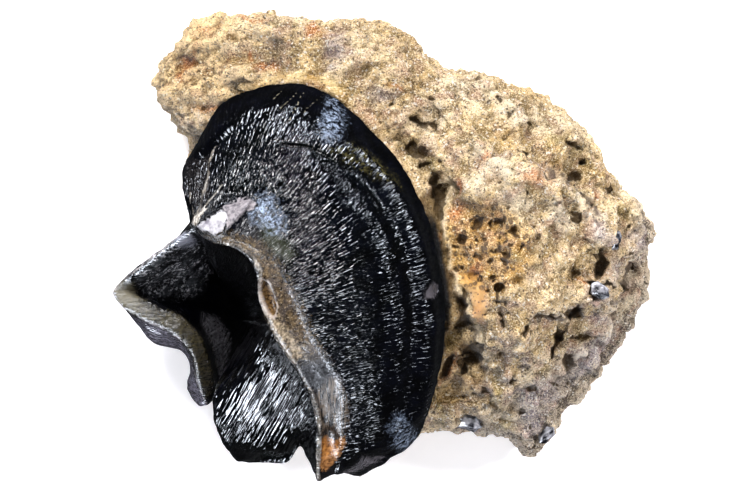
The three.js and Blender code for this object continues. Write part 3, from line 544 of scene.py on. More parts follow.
def bend_ends(skin):
    """Lifts the shelf beside the front edge and dents the rear end."""
    p = skin.points
    front, along, side = along_line(p, FRONT_EDGE)
    shelf = np.clip(1.3 * (front - 0.2), 0, SHELF_HEIGHT) * (side < 0) * (p[:, 0] < -19) * (p[:, 1] < 13.5)
    p[:, 2] += shelf * ramp(along, 0.0, 0.25) * fade(along, 0.85, 1.0) * fade(below_top(p), 1.0, 13.0)
    p[:, 1] += REAR_DENT * hump(p[:, 0] + 10.7, 1.1) * ramp(-p[:, 1], 21.5, 25.5) * ramp(p[:, 2], 1, 4)
    skin.write()


def tint_tooth(skin, p, deep, cusp):
    """Paints lines and patches coloured without relief: own colours, painted highlights and reflections."""

    def on_cusp(outline):
        return np.where(cusp, into_patch(p, outline), -FAR)

    skin.paint(
        threads=to_lines(p, THREADS) + deep,
        hairs=to_lines(p, HAIRS) + deep,
        chalk=into_patches(p, CHALK) - deep,
        greenish=into_patch(p, GREENISH) - deep,
        moss=into_patch(p, MOSS) - 0.3 * deep,
        mottled=into_patch(p, MOTTLED) - deep,
        pale_tip=into_patch(p, TIP_PALE) - deep,
        stain=into_patch(p, STAIN) - 0.3 * deep,
        band_end=ramp(-p[:, 1], 12.0, 14.5),
        cusp_band=on_cusp(CUSP_BAND) - deep,
        cusp_speckled=on_cusp(CUSP_SPECKLED) - deep,
        cusp_glow=on_cusp(CUSP_GLOW) - 0.2 * deep,
        cusp_slate=into_patch(p, CUSP_SLATE) - 0.1 * deep,
        cusp_tip=spot(p, *CUSP_TIP),
        # the low outer walls of the cusp, for painted reflection
        cusp_pale=ramp(-p[:, 1], 6.8, 10.5) * ramp(p[:, 2], 3, 14),
        low=10 - p[:, 2],
    )


def carve_tooth(piece):
    skin = Skin(piece)
    bend_ends(skin)
    p = skin.points.copy()
    under = below_top(p)
    deep = 0.8 * np.maximum(under - 0.25, 0)
    up = ramp(skin.normals[:, 2], -0.1, 0.3)
    high = ramp(p[:, 2], 20, 25)

    crest, crest_along, crest_side = along_line(p, CREST)
    outer = crest_side > 0
    cusp = ~outer & (p[:, 0] < CUSP_EDGE) & (p[:, 2] < 27)
    lobe = ~outer & ~cusp & (p[:, 1] < LOBE_EDGE)
    band_away, _, band_side = along_line(p, DENTINE_EDGE)
    between = outer & (band_side < 0) & (crest + band_away < 5.5) & (p[:, 2] > 20)
    outside = np.minimum(crest + (~outer) * 1.0, band_away)
    band = np.where(between, np.minimum(crest, band_away), -outside)
    crack, crack_along, _ = along_line(p, CRACK)
    crack_width = CRACK_WIDTH * ramp(crack_along, 0, 0.15) * (1 - 0.6 * ramp(crack_along, 0.6, 1.0))
    girdle, girdle_along, girdle_side = along_line(p, GIRDLE)
    rim_away = np.where(girdle_side > 0, girdle, -girdle)
    cusp_rim, _, cusp_side = along_line(p, CUSP_OUTER)
    cusp_fold = to_lines(p, [CUSP_INNER])
    notch = to_lines(p, [NOTCH])
    lip = to_lines(p, [BACK_LIP])
    front = to_lines(p, [FRONT_EDGE])
    facet = into_patch(p, FACET)
    sliver = into_patch(p, SLIVER)
    pillar = into_patch(p, PILLAR)
    fleck = into_patch(p, FLECK)
    crest_pit = into_patch(p, CREST_PIT)
    face = into_patch(p, FRONT_FACE) - 0.8 * np.maximum(under - 1.2, 0)

    inside = ramp(band, 0.0, 0.5)
    wrinkled = np.clip(1 - 0.8 * inside, 0, 1) * fade(facet, -0.2, 0.1) * fade(sliver, -0.2, 0.1)
    wrinkled *= fade(fleck, -0.2, 0.1)
    wrinkled = np.where(lobe, 1.8, 1.0) * wrinkled
    flow = wrinkle_flow(p, lobe, cusp)
    folds = lumps(flow, (0.8, 2.4, 1.5), 3) + 0.7 * lumps(flow, (0.45, 1.3, 1.0), 7)
    upright = columns(p[:, 0] + 0.1 * p[:, 1], 0.15 * p[:, 1], 0.3 * p[:, 2])
    stripes = lumps(upright, 0.5, 21)
    skin.push(
        SWELL
        + FOLD_HEIGHT * wrinkled * folds
        + 0.13 * rough(p, 5.0, 3, 11)
        - BAND_DEPTH * ramp(band, -0.3, 1.1) * high
        + 0.05 * inside * rough(p, 0.9, 2, 17)
        + CREST_HEIGHT * hump(crest, 0.3) * high * up * ramp(crest_along, 0.02, 0.06)
        - CRACK_DEPTH * hump(crack, 0.6 * crack_width + 0.05) * up
        - GROOVE_DEPTH * hump(rim_away - 0.2, 1.1) * up
        + RIM_HEIGHT * hump(rim_away - 2.3, 0.95) * up * ramp(girdle_along, 0.0, 0.1)
        - NOTCH_DEPTH * hump(notch, 0.38) * up * ramp(p[:, 2], 15, 18)
        + 0.14 * hump(front, 0.3) * high
        - LIP_DEPTH * hump(lip, 0.4) * ramp(p[:, 2], 10, 13)
        + 0.10 * hump(cusp_rim, 0.25) * cusp
        + 0.10 * hump(cusp_fold, 0.22) * cusp * up
        + 0.09 * stripes * ramp(pillar, -0.5, 0.3) * high
        - 0.12 * ramp(fleck, -0.1, 0.15) * up
        - PIT_DEPTH * ramp(crest_pit, -0.15, 0.35) * high
        + 0.08 * hump(crest_pit + 0.15, 0.22) * high
        + (0.10 * rough(p, 0.8, 2, 41) - 0.15) * ramp(face, -0.1, 0.25)
        - 0.10 * ramp(facet, -0.1, 0.2) * high
        - 0.06 * ramp(sliver, -0.1, 0.2) * high
    )
    tint_tooth(skin, p, deep, cusp)
    skin.paint(
        flow=flow,
        wrinkled=wrinkled * np.where(cusp, 0.8, 1.0 + 0.6 * fade(skin.normals[:, 2], 0.5, 0.8)),
        crest=crest + deep,
        band=band - deep,
        crack=crack - crack_width + deep,
        girdle=np.abs(rim_away - 0.3) + deep,
        notch=notch + 0.3 * deep,
        lip=lip + 0.3 * deep,
        front_line=front + 0.4 * deep,
        cusp_rim=np.where(cusp, np.minimum(cusp_rim, cusp_fold + 0.12), FAR) + deep,
        cusp_outside=np.where(cusp, -cusp_side * cusp_rim, -FAR),
        facet=facet - deep,
        sliver=sliver - deep,
        crest_pit=crest_pit,
        face=face - 0.2 * deep,
        pillar=pillar - 0.3 * deep,
        # grey painted reflections, partly wear, on the fleck, the grey patch and the rear bands
        slate=np.maximum(fleck, into_patches(p, [GREY_PATCH, REAR])) - 0.5 * deep,
    )
    return piece


# ------------------------------------------------------------------ the rock

def close_seam(skin, tooth):
    """Draws the rock up to the tooth; gives the distance to it, and 1 where the gap stays open."""
    tree = BVHTree.FromObject(tooth, bpy.context.evaluated_depsgraph_get())
    away = np.full(len(skin.points), FAR)
    pull = np.zeros_like(skin.points)
    for i, point in enumerate(skin.points):
        found, _, _, distance = tree.find_nearest(Vector(point * MM), FAR * MM)
        if found is not None:
            away[i] = distance / MM
            if away[i] > SEAM:
                pull[i] = (np.array(found) / MM - point) * (1 - SEAM / away[i])
    gaping = ramp(spot(skin.points, *GAP_BESIDE_BONE) ** 0.5, 0.3, 0.6)
    skin.points += pull * (fade(away, 0.5, SEAM_REACH) * (1 - gaping))[:, None]
    skin.write()
    return away, gaping


def down_steps(points):
    """How far the rock drops beside its steps, and how near each point is to their feet, for painted shade,
    and to their brows, for painted highlights.
    """
    drop, foot, brow = np.zeros((3, len(points)))
    for line, depth, reach in STEPS:
        away, along, side = along_line(points, line)
        ends = ramp(along, 0.0, 0.15) * fade(along, 0.85, 1.0)
        foot = np.maximum(foot, ends * (side < 0) * hump(away - 0.45, 0.35))
        brow = np.maximum(brow, ends * (side > 0) * hump(away, 0.45))
        lower = depth * (side < 0) * ends * ramp(away, 0.0, 0.4) * fade(away, 0.4 * reach, reach)
        drop = np.maximum(drop, lower)
    return drop, foot, brow


def tint_rock(skin, p, frayed, top):
    """Paints the patches that have a colour of their own but no relief, and the steep faces that take
    painted shade.
    """
    edge = 0.35 * rough(p, 1.2, 2, 101)
    grey = ramp(0.55 * p[:, 0] - 0.84 * p[:, 1], 20, 27) + 0.8 * ramp(p[:, 0], 28, 32) + edge * 0.5

    def patch(rows):
        return np.clip(spots(frayed, rows) + edge, 0, 1) * top

    skin.paint(
        rust=patch(RUST),
        olive=patch(OLIVE),
        violet=patch(VIOLET),
        cream=patch(CREAM),
        golden=hump(to_lines(frayed, [GOLDEN_EDGE]), 0.75) * top,
        grey=np.clip(grey, 0, 1),
        flank=fade(skin.normals[:, 2], -0.1, 0.45),
    )


def carve_rock(piece, tooth):
    skin = Skin(piece)
    away, gaping = close_seam(skin, tooth)
    p = skin.points.copy()
    frayed = p + 0.32 * columns(rough(p, 1.0, 3, 201), rough(p, 1.0, 3, 211), np.zeros(len(p)))
    top = ramp(skin.normals[:, 2], 0.0, 0.5)
    free = ramp(away, 0.6, 1.7)
    base = ramp(p[:, 2], 0.1, 1.5)
    bone = spot(p, *BONE_PLATE) * ramp(p[:, 0], 5.5, 7.0) * top
    sleek = spots(p, SLEEK) * top
    ridge = ramp(p[:, 1], 15, 19) * fade(p[:, 0], -2, 8)
    craggy = ramp(p[:, 0], 17, 21)

    coarse = rough(p, 4.6, 3, 31)
    medium = rough(p, 1.5, 2, 61)
    fine = rough(p, 0.75, 2, 91)
    crag = 1 - 2 * np.abs(rough(p, (3.2, 3.2, 2.4), 3, 51))
    slanted = columns(0.9 * p[:, 0] + 0.42 * p[:, 1], 0.9 * p[:, 1] - 0.42 * p[:, 0], p[:, 2])
    strata = stepped(rough(slanted, (2.8, 0.8, 1.4), 2, 71), 0.55)
    plates = stepped(rough(p, (3.4, 2.6, 2.0), 2, 81), 0.5)
    crumb, crumb_chance = scattered(p + 0.3 * columns(fine, medium, fine), 2.4, 23)
    bit, bit_chance = scattered(p + 0.15 * columns(medium, fine, medium), 1.15, 33)
    seed, chance = scattered(p, 2.1, 13)
    pit = (chance > 0.6) * fade(seed, 0.12, 0.30 + 0.5 * (chance - 0.6)) * fade(bone, 0.3, 0.6)
    pore = spots(frayed, BONE_PORES) * top
    calm = 1 - 0.8 * ramp(sleek, 0.3, 0.8) * (1 - bone) - 0.6 * bone
    crumbs = CRUMB_HEIGHT * (crumb_chance - 0.5) - 0.25 * (crumb / 1.6) ** 2
    bits = BIT_HEIGHT * (bit_chance - 0.5) - 0.20 * (bit / 0.8) ** 2
    skin.push(free * base * (
        COARSE_HEIGHT * coarse * calm
        + CRAG_HEIGHT * crag * calm
        + (0.08 + STRATA_HEIGHT * ridge) * strata * calm
        + PLATE_HEIGHT * plates * calm * (1 - 0.5 * ridge)
        + 0.15 * medium * calm
        + 0.12 * fine * calm
        + crumbs * calm * (1 - 0.6 * ridge) * (1 + 0.5 * craggy)
        + bits * calm
        - HOLE_DEPTH * pit * calm
    ))

    edge_away, edge_along, edge_side = along_line(frayed, BONE_EDGE)
    wedge = (edge_side < 0) * ramp(edge_away, 0.05, 0.35) * fade(edge_away, 5.5, 7.5) * top
    wedge *= ramp(p[:, 1], -21.5, -18.5) * fade(p[:, 1], 4.5, 7.0)
    deep, lift = np.zeros((2, len(p)))
    for x, y, half_x, half_y, depth, *turn in CLEFTS:
        deep = np.maximum(deep, depth * ramp(spot(frayed, x, y, half_x, half_y, *turn), 0.15, 0.75))
    deep *= 1 - 0.6 * ridge
    deep *= 1 + 0.4 * craggy
    for line, height, width in LEDGES:
        lift = np.maximum(lift, height * hump(to_lines(frayed, [line]), width))
    drop, foot, brow = down_steps(frayed)
    z = skin.points[:, 2]
    z -= WEDGE_DEPTH * wedge * ramp(away, 0.3, 1.0)
    z -= drop * top * free
    z += top * free * (
        lift * (1 + 0.5 * craggy)
        - CLEFT_DEPTH * deep * (1 + 0.4 * medium)
        - PORE_DEPTH * ramp(pore, 0.25, 0.8)
    )
    np.maximum(z, 0.0, out=z)
    skin.write()

    # Painted shade: the low places of the relief, to be darkened in colour.
    hollow = -0.5 * coarse - 0.35 * crag - 0.3 * medium - 0.8 * ridge * strata + 0.9 * ramp(bit, 0.45, 0.80)
    hollow = hollow + (0.7 + 0.5 * craggy) * (0.4 - crumb_chance)
    # Painted highlight: the raised places of the relief, to be lightened in colour.
    crown = 0.5 * coarse + 0.3 * medium + 2.0 * lift + 0.9 * (crumb_chance - 0.5) + 0.5 * (bit_chance - 0.5)
    tint_rock(skin, p, frayed, top)
    skin.paint(
        # painted shade in the pits and pores
        pit=np.clip(pit + ramp(pore, 0.3, 0.75) * 1.1, 0, 1),
        # painted shade in the clefts
        cleft=np.clip(ramp(deep, 0.15, 0.8), 0, 1) * top * free,
        hollow=np.clip(hollow, 0, 1) * free * calm,
        crown=np.clip(crown, 0, 1) * free,
        # painted shade on the rock close to the tooth
        rim=fade(away, 0.25, 1.3),
        # painted shade in the open gap beside the plate of bone
        gap=gaping * fade(away, 0.5, SEAM_REACH),
        bone=np.clip(ramp(bone, 0.35, 0.65), 0, 1) * (1 - wedge),
        wedge=wedge * (1 - 0.5 * ramp(-p[:, 1], 4, 12)),
        bright_edge=hump(edge_away - 0.1, 0.35) * (edge_side > 0) * fade(edge_along, 0.75, 0.95),
        sleek=ramp(sleek, 0.35, 0.75),
        ridge=ridge,
        knob=ridge * fade(p[:, 0], -21, -14),
        step=ramp(drop, 0.1, 0.8),
        foot=foot * top * np.clip(1 + 1.5 * medium, 0, 1),
        brow=brow * top * np.clip(1 + 1.5 * fine, 0, 1),
    )
    return piece


# ------------------------------------------------------------------ finishes

class Finish:
    """A small helper that adds linked shader nodes to one material and lays tints one over another."""

    def __init__(self, name):
        self.material = bpy.data.materials.new(name)
        self.material.use_nodes = True
        self.tree = self.material.node_tree
        self.shader = self.tree.nodes["Principled BSDF"]
        self.place = self.node("ShaderNodeTexCoord").outputs["Object"]

    def node(self, kind, inputs=None, **settings):
        made = self.tree.nodes.new(kind)
        for key, value in settings.items():
            setattr(made, key, value)
        for key, value in (inputs or {}).items():
            self.feed(made.inputs[key], value)
        return made

    def feed(self, socket, value):
        if isinstance(value, bpy.types.NodeSocket):
            self.tree.links.new(value, socket)
        elif socket.type == "RGBA" and len(value) == 3:
            socket.default_value = (*value, 1.0)
        else:
            socket.default_value = value

    def mask(self, name):
        return self.node("ShaderNodeAttribute", attribute_name=name).outputs["Fac"]

    def noise(self, size_mm, detail=2.0, roughness=0.5):
        return self.node("ShaderNodeTexNoise", {
            "Vector": self.place, "Scale": 1 / (size_mm * MM), "Detail": detail,
            "Roughness": roughness}).outputs["Fac"]

    def mapped(self, vector, scale, turn=0.0):
        """Coordinates scaled, and turned about z."""
        return self.node("ShaderNodeMapping", {
            "Vector": vector, "Rotation": (0, 0, np.radians(turn)), "Scale": scale}).outputs["Vector"]

    def stretched(self, vector, scale, turn=0.0, **inputs):
        """Noise over scaled and turned coordinates."""
        return self.node("ShaderNodeTexNoise", {
            "Vector": self.mapped(vector, scale, turn), "Scale": 1.0, **inputs}).outputs["Fac"]

    def cells(self, size_mm, output="Distance"):
        return self.node("ShaderNodeTexVoronoi", {
            "Vector": self.place, "Scale": 1 / (size_mm * MM)}).outputs[output]

    def level(self, value, low, high, to_low=0.0, to_high=1.0):
        return self.node("ShaderNodeMapRange", {
            "Value": value, "From Min": low, "From Max": high, "To Min": to_low, "To Max": to_high,
            }, clamp=True).outputs["Result"]

    def math(self, operation, a, b=0.0, clamp=False):
        return self.node("ShaderNodeMath", {0: a, 1: b}, operation=operation, use_clamp=clamp).outputs[0]

    def times(self, a, b):
        return self.math("MULTIPLY", a, b, True)

    def most(self, first, *others):
        """The largest of some values."""
        for other in others:
            first = self.math("MAXIMUM", first, other)
        return first

    def ragged(self, name, torn, low, high):
        """A painted value taken from low to high, its edge torn by the uneven noise."""
        shaken = self.math("ADD", self.mask(name), self.math("MULTIPLY", self.uneven, torn))
        return self.level(shaken, low, high)

    def inside(self, name, soft=0.25, torn=1.2):
        """1 inside a patch."""
        return self.ragged(name, torn, -soft, soft)

    def line(self, name, width, soft=0.12, torn=0.5):
        """1 on a line."""
        return self.ragged(name, torn, width + soft, width - soft)

    def blend(self, amount, a, b, mode="MIX"):
        made = self.node("ShaderNodeMix", {0: amount, 6: a, 7: b}, data_type="RGBA", blend_type=mode)
        return made.outputs[2]

    def flecked(self, dark, light, low=0.35, high=0.65):
        """A tint that goes from dark to light with the specks."""
        return self.blend(self.level(self.specks, low, high), dark, light)

    def lay(self, tint, *amounts, mode="MIX"):
        """Lays a tint over the colour so far, by the product of the amounts; a name is a painted value."""
        amounts = [self.mask(amount) if isinstance(amount, str) else amount for amount in amounts]
        amount = amounts[0] if len(amounts) == 1 else self.times(*amounts)
        self.colour = self.blend(amount, self.colour, tint, mode)

    def bump(self, height, distance_mm, strength=1.0, normal=None):
        inputs = {"Height": height, "Distance": distance_mm * MM, "Strength": strength}
        if normal is not None:
            inputs["Normal"] = normal
        return self.node("ShaderNodeBump", inputs).outputs["Normal"]

    def set(self, **sockets):
        for name, value in sockets.items():
            self.feed(self.shader.inputs[name.replace("_", " ")], value)
        return self.material


# The tints of the enamel, in the order in which they are laid.

def lay_dome(f, chalk):
    f.lay((0.035, 0.040, 0.022), f.inside("greenish", 0.5), 0.6)
    moss = f.flecked((0.003, 0.003, 0.002), (0.10, 0.088, 0.035), 0.40, 0.62)
    f.lay(moss, f.inside("moss", 0.4, 1.6), f.level(f.noise(0.8, 3, 0.6), 0.42, 0.60, 0.0, 0.8))
    # Chalky patina with painted glints, blue-white.
    f.lay((0.36, 0.44, 0.58), chalk)
    # Painted reflection, partly wear: grey on the fleck, the grey patch and the rear bands.
    f.lay((0.15, 0.14, 0.155), f.inside("slate", 0.2), f.level(f.clouds, 0.2, 0.6, 0.3, 0.8))


def lay_worn_band(f):
    brown = f.flecked((0.014, 0.009, 0.005), (0.12, 0.080, 0.038), 0.40, 0.62)
    grey_clouds = f.level(f.noise(1.6, 3, 0.6), 0.50, 0.62)
    brown = f.blend(f.times(grey_clouds, 0.7), brown, (0.045, 0.036, 0.034))
    brown = f.blend(f.times(f.level(f.fine, 0.58, 0.66), 0.5), brown, (0.42, 0.33, 0.21))
    brown = f.blend(f.level(f.mask("band_end"), 0.0, 1.0), brown, (0.012, 0.011, 0.012))
    f.lay(brown, f.inside("band", 0.6, 2.4), f.level(f.clouds, 0.25, 0.50, 0.35, 0.95))
    mottled = f.flecked((0.045, 0.032, 0.020), (0.40, 0.32, 0.22), 0.38, 0.62)
    f.lay(mottled, f.inside("mottled", 0.35, 2.2), 0.85)
    stripes = f.stretched(f.place, (5200, 600, 900), Detail=2.0)
    pillar = f.blend(f.level(stripes, 0.42, 0.58), (0.012, 0.010, 0.009), (0.12, 0.092, 0.068))
    f.lay(pillar, f.inside("pillar", 0.4), 0.9)
    face = f.flecked((0.006, 0.005, 0.006), (0.055, 0.050, 0.050), 0.45)
    f.lay(face, f.inside("face", 0.15, 0.6), 0.8)
    amber = f.flecked((0.10, 0.035, 0.012), (0.46, 0.22, 0.065))
    f.lay(amber, f.inside("stain", 0.15, 1.0))


def lay_cusp(f):
    slate = f.flecked((0.035, 0.033, 0.036), (0.13, 0.125, 0.135))
    f.lay(slate, f.inside("cusp_slate", 0.35, 0.8), 0.9)
    olive = f.flecked((0.012, 0.0095, 0.005), (0.080, 0.067, 0.034))
    olive = f.blend(f.level(f.noise(1.5, 3, 0.6), 0.45, 0.65, 0.0, 0.6), olive, (0.050, 0.045, 0.038))
    olive = f.blend(f.times(f.mask("cusp_tip"), 0.7), olive, (0.22, 0.20, 0.15))
    f.lay(olive, f.inside("cusp_band", 0.4, 1.6), 0.95)
    clumps = f.level(f.noise(1.9, 3, 0.6), 0.40, 0.60, 0.1, 0.95)
    f.lay((0.075, 0.080, 0.088), f.inside("cusp_speckled", 0.9, 1.5), clumps)
    speckled = f.times(f.inside("cusp_speckled", 0.6, 1.5), f.level(f.specks, 0.50, 0.62))
    f.lay((0.70, 0.70, 0.74), speckled, f.level(f.noise(1.3, 2, 0.5), 0.42, 0.56, 0.1, 1.0))
    # Painted reflection: a grey-lavender patch on a facet of the cusp.
    f.lay((0.34, 0.35, 0.41), f.inside("cusp_glow", 0.4, 1.4), 0.9)
    # Painted reflection: lavender-grey streaks on the low outer walls of the cusp.
    streaks = f.level(f.noise(0.5, 2, 0.5), 0.35, 0.65, 0.3, 1.0)
    f.lay((0.22, 0.21, 0.26), f.inside("cusp_outside", 0.25), f.times(streaks, f.mask("cusp_pale")))


def lay_edges(f):
    sliver = f.flecked((0.06, 0.055, 0.065), (0.30, 0.27, 0.28), 0.35, 0.6)
    f.lay(sliver, f.inside("sliver", 0.1, 0.9))
    pale = f.flecked((0.30, 0.25, 0.20), (0.72, 0.68, 0.62), 0.35, 0.6)
    broken = f.level(f.noise(1.8, 3, 0.6), 0.40, 0.60, 0.15, 0.9)
    f.lay(pale, f.line("crest", 0.15, 0.12, 1.1), broken)
    # Painted highlights: thin pale lines along edges beside the front facet.
    f.lay(pale, f.line("threads", 0.05, 0.09, 0.3), 0.8)
    # Painted highlight: a pale line along the front edge.
    f.lay(pale, f.line("front_line", 0.10, 0.12, 1.0), f.level(f.clouds, 0.42, 0.56, 0.15, 0.85))
    f.lay(pale, f.inside("pale_tip", 0.12, 0.8))
    f.lay((0.55, 0.52, 0.52), f.line("cusp_rim", 0.05, 0.09, 0.7), 0.8)
    f.lay((0.42, 0.38, 0.28), f.line("hairs", 0.03, 0.07, 0.25), 0.75)
    facet = f.blend(f.level(f.noise(1.4, 3, 0.6), 0.35, 0.6), (0.14, 0.13, 0.16), (0.62, 0.60, 0.62))
    f.lay(facet, f.inside("facet", 0.10, 0.9))
    from_rim = f.math("ADD", f.mask("crest_pit"), f.math("MULTIPLY", f.uneven, 0.8))
    f.lay((0.42, 0.36, 0.32), f.level(f.math("ABSOLUTE", from_rim), 0.34, 0.08), 0.7)
    pit = f.flecked((0.02, 0.012, 0.008), (0.20, 0.12, 0.05), 0.4, 0.6)
    f.lay(pit, f.inside("crest_pit", 0.12, 0.3))
    # Painted shade: the crack, the notch, the back lip and the groove along the girdle darkened to black.
    girdle = f.times(f.level(f.mask("girdle"), 0.7, 0.0), 0.5)
    dark = f.most(f.line("crack", 0.07, 0.07, 0.15), f.line("notch", 0.22), f.line("lip", 0.2), girdle)
    f.lay((0.002, 0.002, 0.002), dark)


def make_enamel():
    f = Finish("enamel")
    f.clouds = f.noise(2.4, 4, 0.6)
    f.specks = f.noise(0.42, 4, 0.7)
    f.fine = f.noise(0.16, 2, 0.6)
    f.uneven = f.math("SUBTRACT", f.specks, 0.5)
    crumbly = f.times(f.level(f.noise(0.6, 4, 0.7), 0.42, 0.58), f.level(f.fine, 0.30, 0.56))
    chalk = f.times(f.inside("chalk", 0.9, 3.0), crumbly)

    black = f.blend(f.level(f.clouds, 0.4, 0.7), (0.001, 0.001, 0.0015), (0.003, 0.0035, 0.007))
    f.colour = f.blend(f.level(f.mask("low"), 0.0, 8.0), black, (0.006, 0.0055, 0.006))
    lay_dome(f, chalk)
    lay_worn_band(f)
    lay_cusp(f)
    lay_edges(f)

    worn = f.most(f.inside("band", 0.3), f.inside("cusp_band", 0.3))
    matte = f.most(f.inside("facet", 0.1), f.times(f.inside("sliver", 0.1), 0.8), chalk)
    roughness = f.most(f.level(matte, 0, 1, POLISH, 0.6), f.level(worn, 0, 1, POLISH, 0.27))
    flow = f.node("ShaderNodeAttribute", attribute_name="flow").outputs["Vector"]
    wrinkles = f.stretched(flow, (3.7, 0.85, 0.5), Detail=1.0, Roughness=0.4, Distortion=0.4)
    rows = f.node("ShaderNodeTexWave", {
        "Vector": f.mapped(flow, (0.85, 0.35, 0.2)), "Scale": 1.0, "Distortion": 5.0, "Detail": 1.0,
        "Detail Scale": 1.4}).outputs["Fac"]
    wrinkles = f.math("ADD", f.math("MULTIPLY", wrinkles, 0.8), f.math("MULTIPLY", rows, 0.10))
    normal = f.bump(f.math("MULTIPLY", wrinkles, f.mask("wrinkled")), 0.31)
    normal = f.bump(f.math("MULTIPLY", f.specks, f.most(matte, worn)), 0.10, 0.8, normal)
    return f.set(Base_Color=f.colour, Roughness=roughness, Normal=normal, IOR=1.45)


# The tints of the sandstone, in the order in which they are laid.

def lay_ground(f):
    f.colour = f.blend(f.level(f.noise(7.0, 5, 0.6), 0.38, 0.62), (0.60, 0.39, 0.14), (0.82, 0.62, 0.36))
    f.lay((0.84, 0.70, 0.49), f.level(f.patches, 0.52, 0.68, 0.0, 0.6))
    f.lay((0.33, 0.215, 0.085), f.level(f.patches, 0.47, 0.32, 0.0, 0.6))
    f.lay((0.50, 0.44, 0.385), "grey", 0.8)
    # Painted highlight: the raised places of the relief lightened to pale cream.
    f.lay((0.97, 0.81, 0.58), f.ragged("crown", 1.2, 0.15, 0.80), 0.5)
    brown = f.blend(f.level(f.patches, 0.35, 0.65), (0.40, 0.215, 0.050), (0.66, 0.43, 0.15))
    f.lay(brown, "bone", 0.95)
    f.lay((1.0, 0.80, 0.56), "knob", 0.9)
    f.lay((0.90, 0.78, 0.60), "cream", 0.75)
    # Painted shade: the low places of the relief laid dark brown, and dark grey where the rock is grey.
    hollow = f.ragged("hollow", 1.4, 0.15, 0.75)
    f.lay((0.20, 0.125, 0.035), hollow, 0.75)
    f.lay((0.10, 0.080, 0.070), f.times(hollow, f.mask("grey")), 0.85)
    f.lay((0.30, 0.225, 0.05), "olive", 0.75)
    f.lay((0.43, 0.385, 0.345), "step", f.level(f.patches, 0.3, 0.6, 0.7, 0.3))
    f.lay((0.40, 0.35, 0.41), "violet", 0.7)
    f.lay((0.52, 0.17, 0.035), "rust", 0.9)
    f.lay((0.50, 0.31, 0.12), "sleek", f.level(f.patches, 0.3, 0.6, 0.4, 0.9))
    # Painted shade: the rock close to the tooth darkened to dark brown where the two meet.
    f.lay((0.22, 0.13, 0.045), "rim", f.level(f.patches, 0.3, 0.6, 0.3, 0.85))
    golden = f.blend(f.level(f.patches, 0.4, 0.6), (0.42, 0.25, 0.07), (0.80, 0.60, 0.30))
    f.lay(golden, "golden", 0.9)


def lay_sand(f, splinters, sand, grain, sandy):
    f.lay((0.20, 0.12, 0.04), f.level(splinters, 0.40, 0.36), f.times(f.mask("ridge"), 0.5))
    f.lay((0.085, 0.045, 0.018), f.level(sand, 0.48, 0.36), f.times(sandy, 0.72))
    f.lay((0.94, 0.80, 0.57), f.level(sand, 0.52, 0.62), f.times(sandy, 0.72))
    f.lay((0.92, 0.88, 0.80), f.level(grain, 0.93, 0.97), f.times(sandy, 0.6))
    f.lay((0.05, 0.035, 0.03), f.level(grain, 0.07, 0.04), 0.7)


def lay_hollows(f, pores):
    # Painted shade: steep and downward faces darkened.
    f.lay((0.74, 0.68, 0.60), "flank", 0.8, mode="MULTIPLY")
    warm = f.most(f.mask("bone"), f.mask("wedge"), f.mask("knob"))
    f.lay((1.0, 0.88, 0.60), warm, 0.7, mode="MULTIPLY")
    # Painted shade at the foot of each step and a painted highlight along its brow.
    f.lay((0.11, 0.075, 0.05), f.ragged("foot", 0.9, 0.2, 0.8), 0.8)
    f.lay((0.86, 0.78, 0.68), f.ragged("brow", 0.9, 0.2, 0.8), 0.65)
    # The low ground between the plate of bone and the tooth laid dark brown, partly as painted shade in
    # that channel.
    f.lay((0.085, 0.052, 0.018), "wedge", f.level(f.patches, 0.25, 0.6, 0.95, 0.55))
    f.lay((0.88, 0.72, 0.48), "bright_edge", 0.7)
    # Painted shade: the clefts darkened to dark brown.
    f.lay((0.085, 0.050, 0.018), f.ragged("cleft", 1.6, 0.30, 0.62), 0.85)
    # Painted shade: the pits and the pores of the bone darkened to dark brown.
    f.lay(PORE_TINT, f.ragged("pit", 0.8, 0.30, 0.60), 0.85)
    f.lay(PORE_TINT, pores, 0.85)
    # Painted shade: the open gap between the plate of bone and the tooth, near black.
    f.lay((0.006, 0.004, 0.003), "gap")


def make_sandstone():
    f = Finish("sandstone")
    f.patches = f.noise(2.2, 5, 0.65)
    f.uneven = f.math("SUBTRACT", f.noise(0.55, 4, 0.7), 0.5)
    sand = f.noise(0.21, 3, 0.75)
    grain = f.node("ShaderNodeSeparateColor", {"Color": f.cells(0.22, "Color")}).outputs["Red"]
    smooth = f.most(f.mask("sleek"), f.times(f.mask("golden"), 0.7))
    sandy = f.math("SUBTRACT", 1.0, smooth, True)
    splinters = f.stretched(f.place, (420, 1900, 1200), -28, Detail=3.0, Roughness=0.6)
    splinters = f.math("MULTIPLY", splinters, f.mask("ridge"))
    # Pores of the bone: a dip in the bump, and dark in colour as painted shade.
    pores = f.times(f.level(f.cells(0.80), 0.42, 0.30), f.level(f.noise(2.6, 2, 0.5), 0.43, 0.51))
    pores = f.times(pores, f.mask("bone"))

    lay_ground(f)
    lay_sand(f, splinters, sand, grain, sandy)
    lay_hollows(f, pores)

    normal = f.bump(f.noise(0.8, 4, 0.65), 0.55, 0.9)
    normal = f.bump(splinters, 0.9, 0.9, normal)
    normal = f.bump(f.math("SUBTRACT", 1.0, pores), 0.35, 0.9, normal)
    normal = f.bump(f.math("MULTIPLY", f.cells(0.45), sandy), 0.16, 0.8, normal)
    normal = f.bump(f.math("MULTIPLY", sand, sandy), 0.30, 1.0, normal)
    roughness = f.level(grain, 0.75, 1.0, 0.85, 0.35)
    return f.set(Base_Color=f.colour, Roughness=roughness, Normal=normal, IOR=1.5)


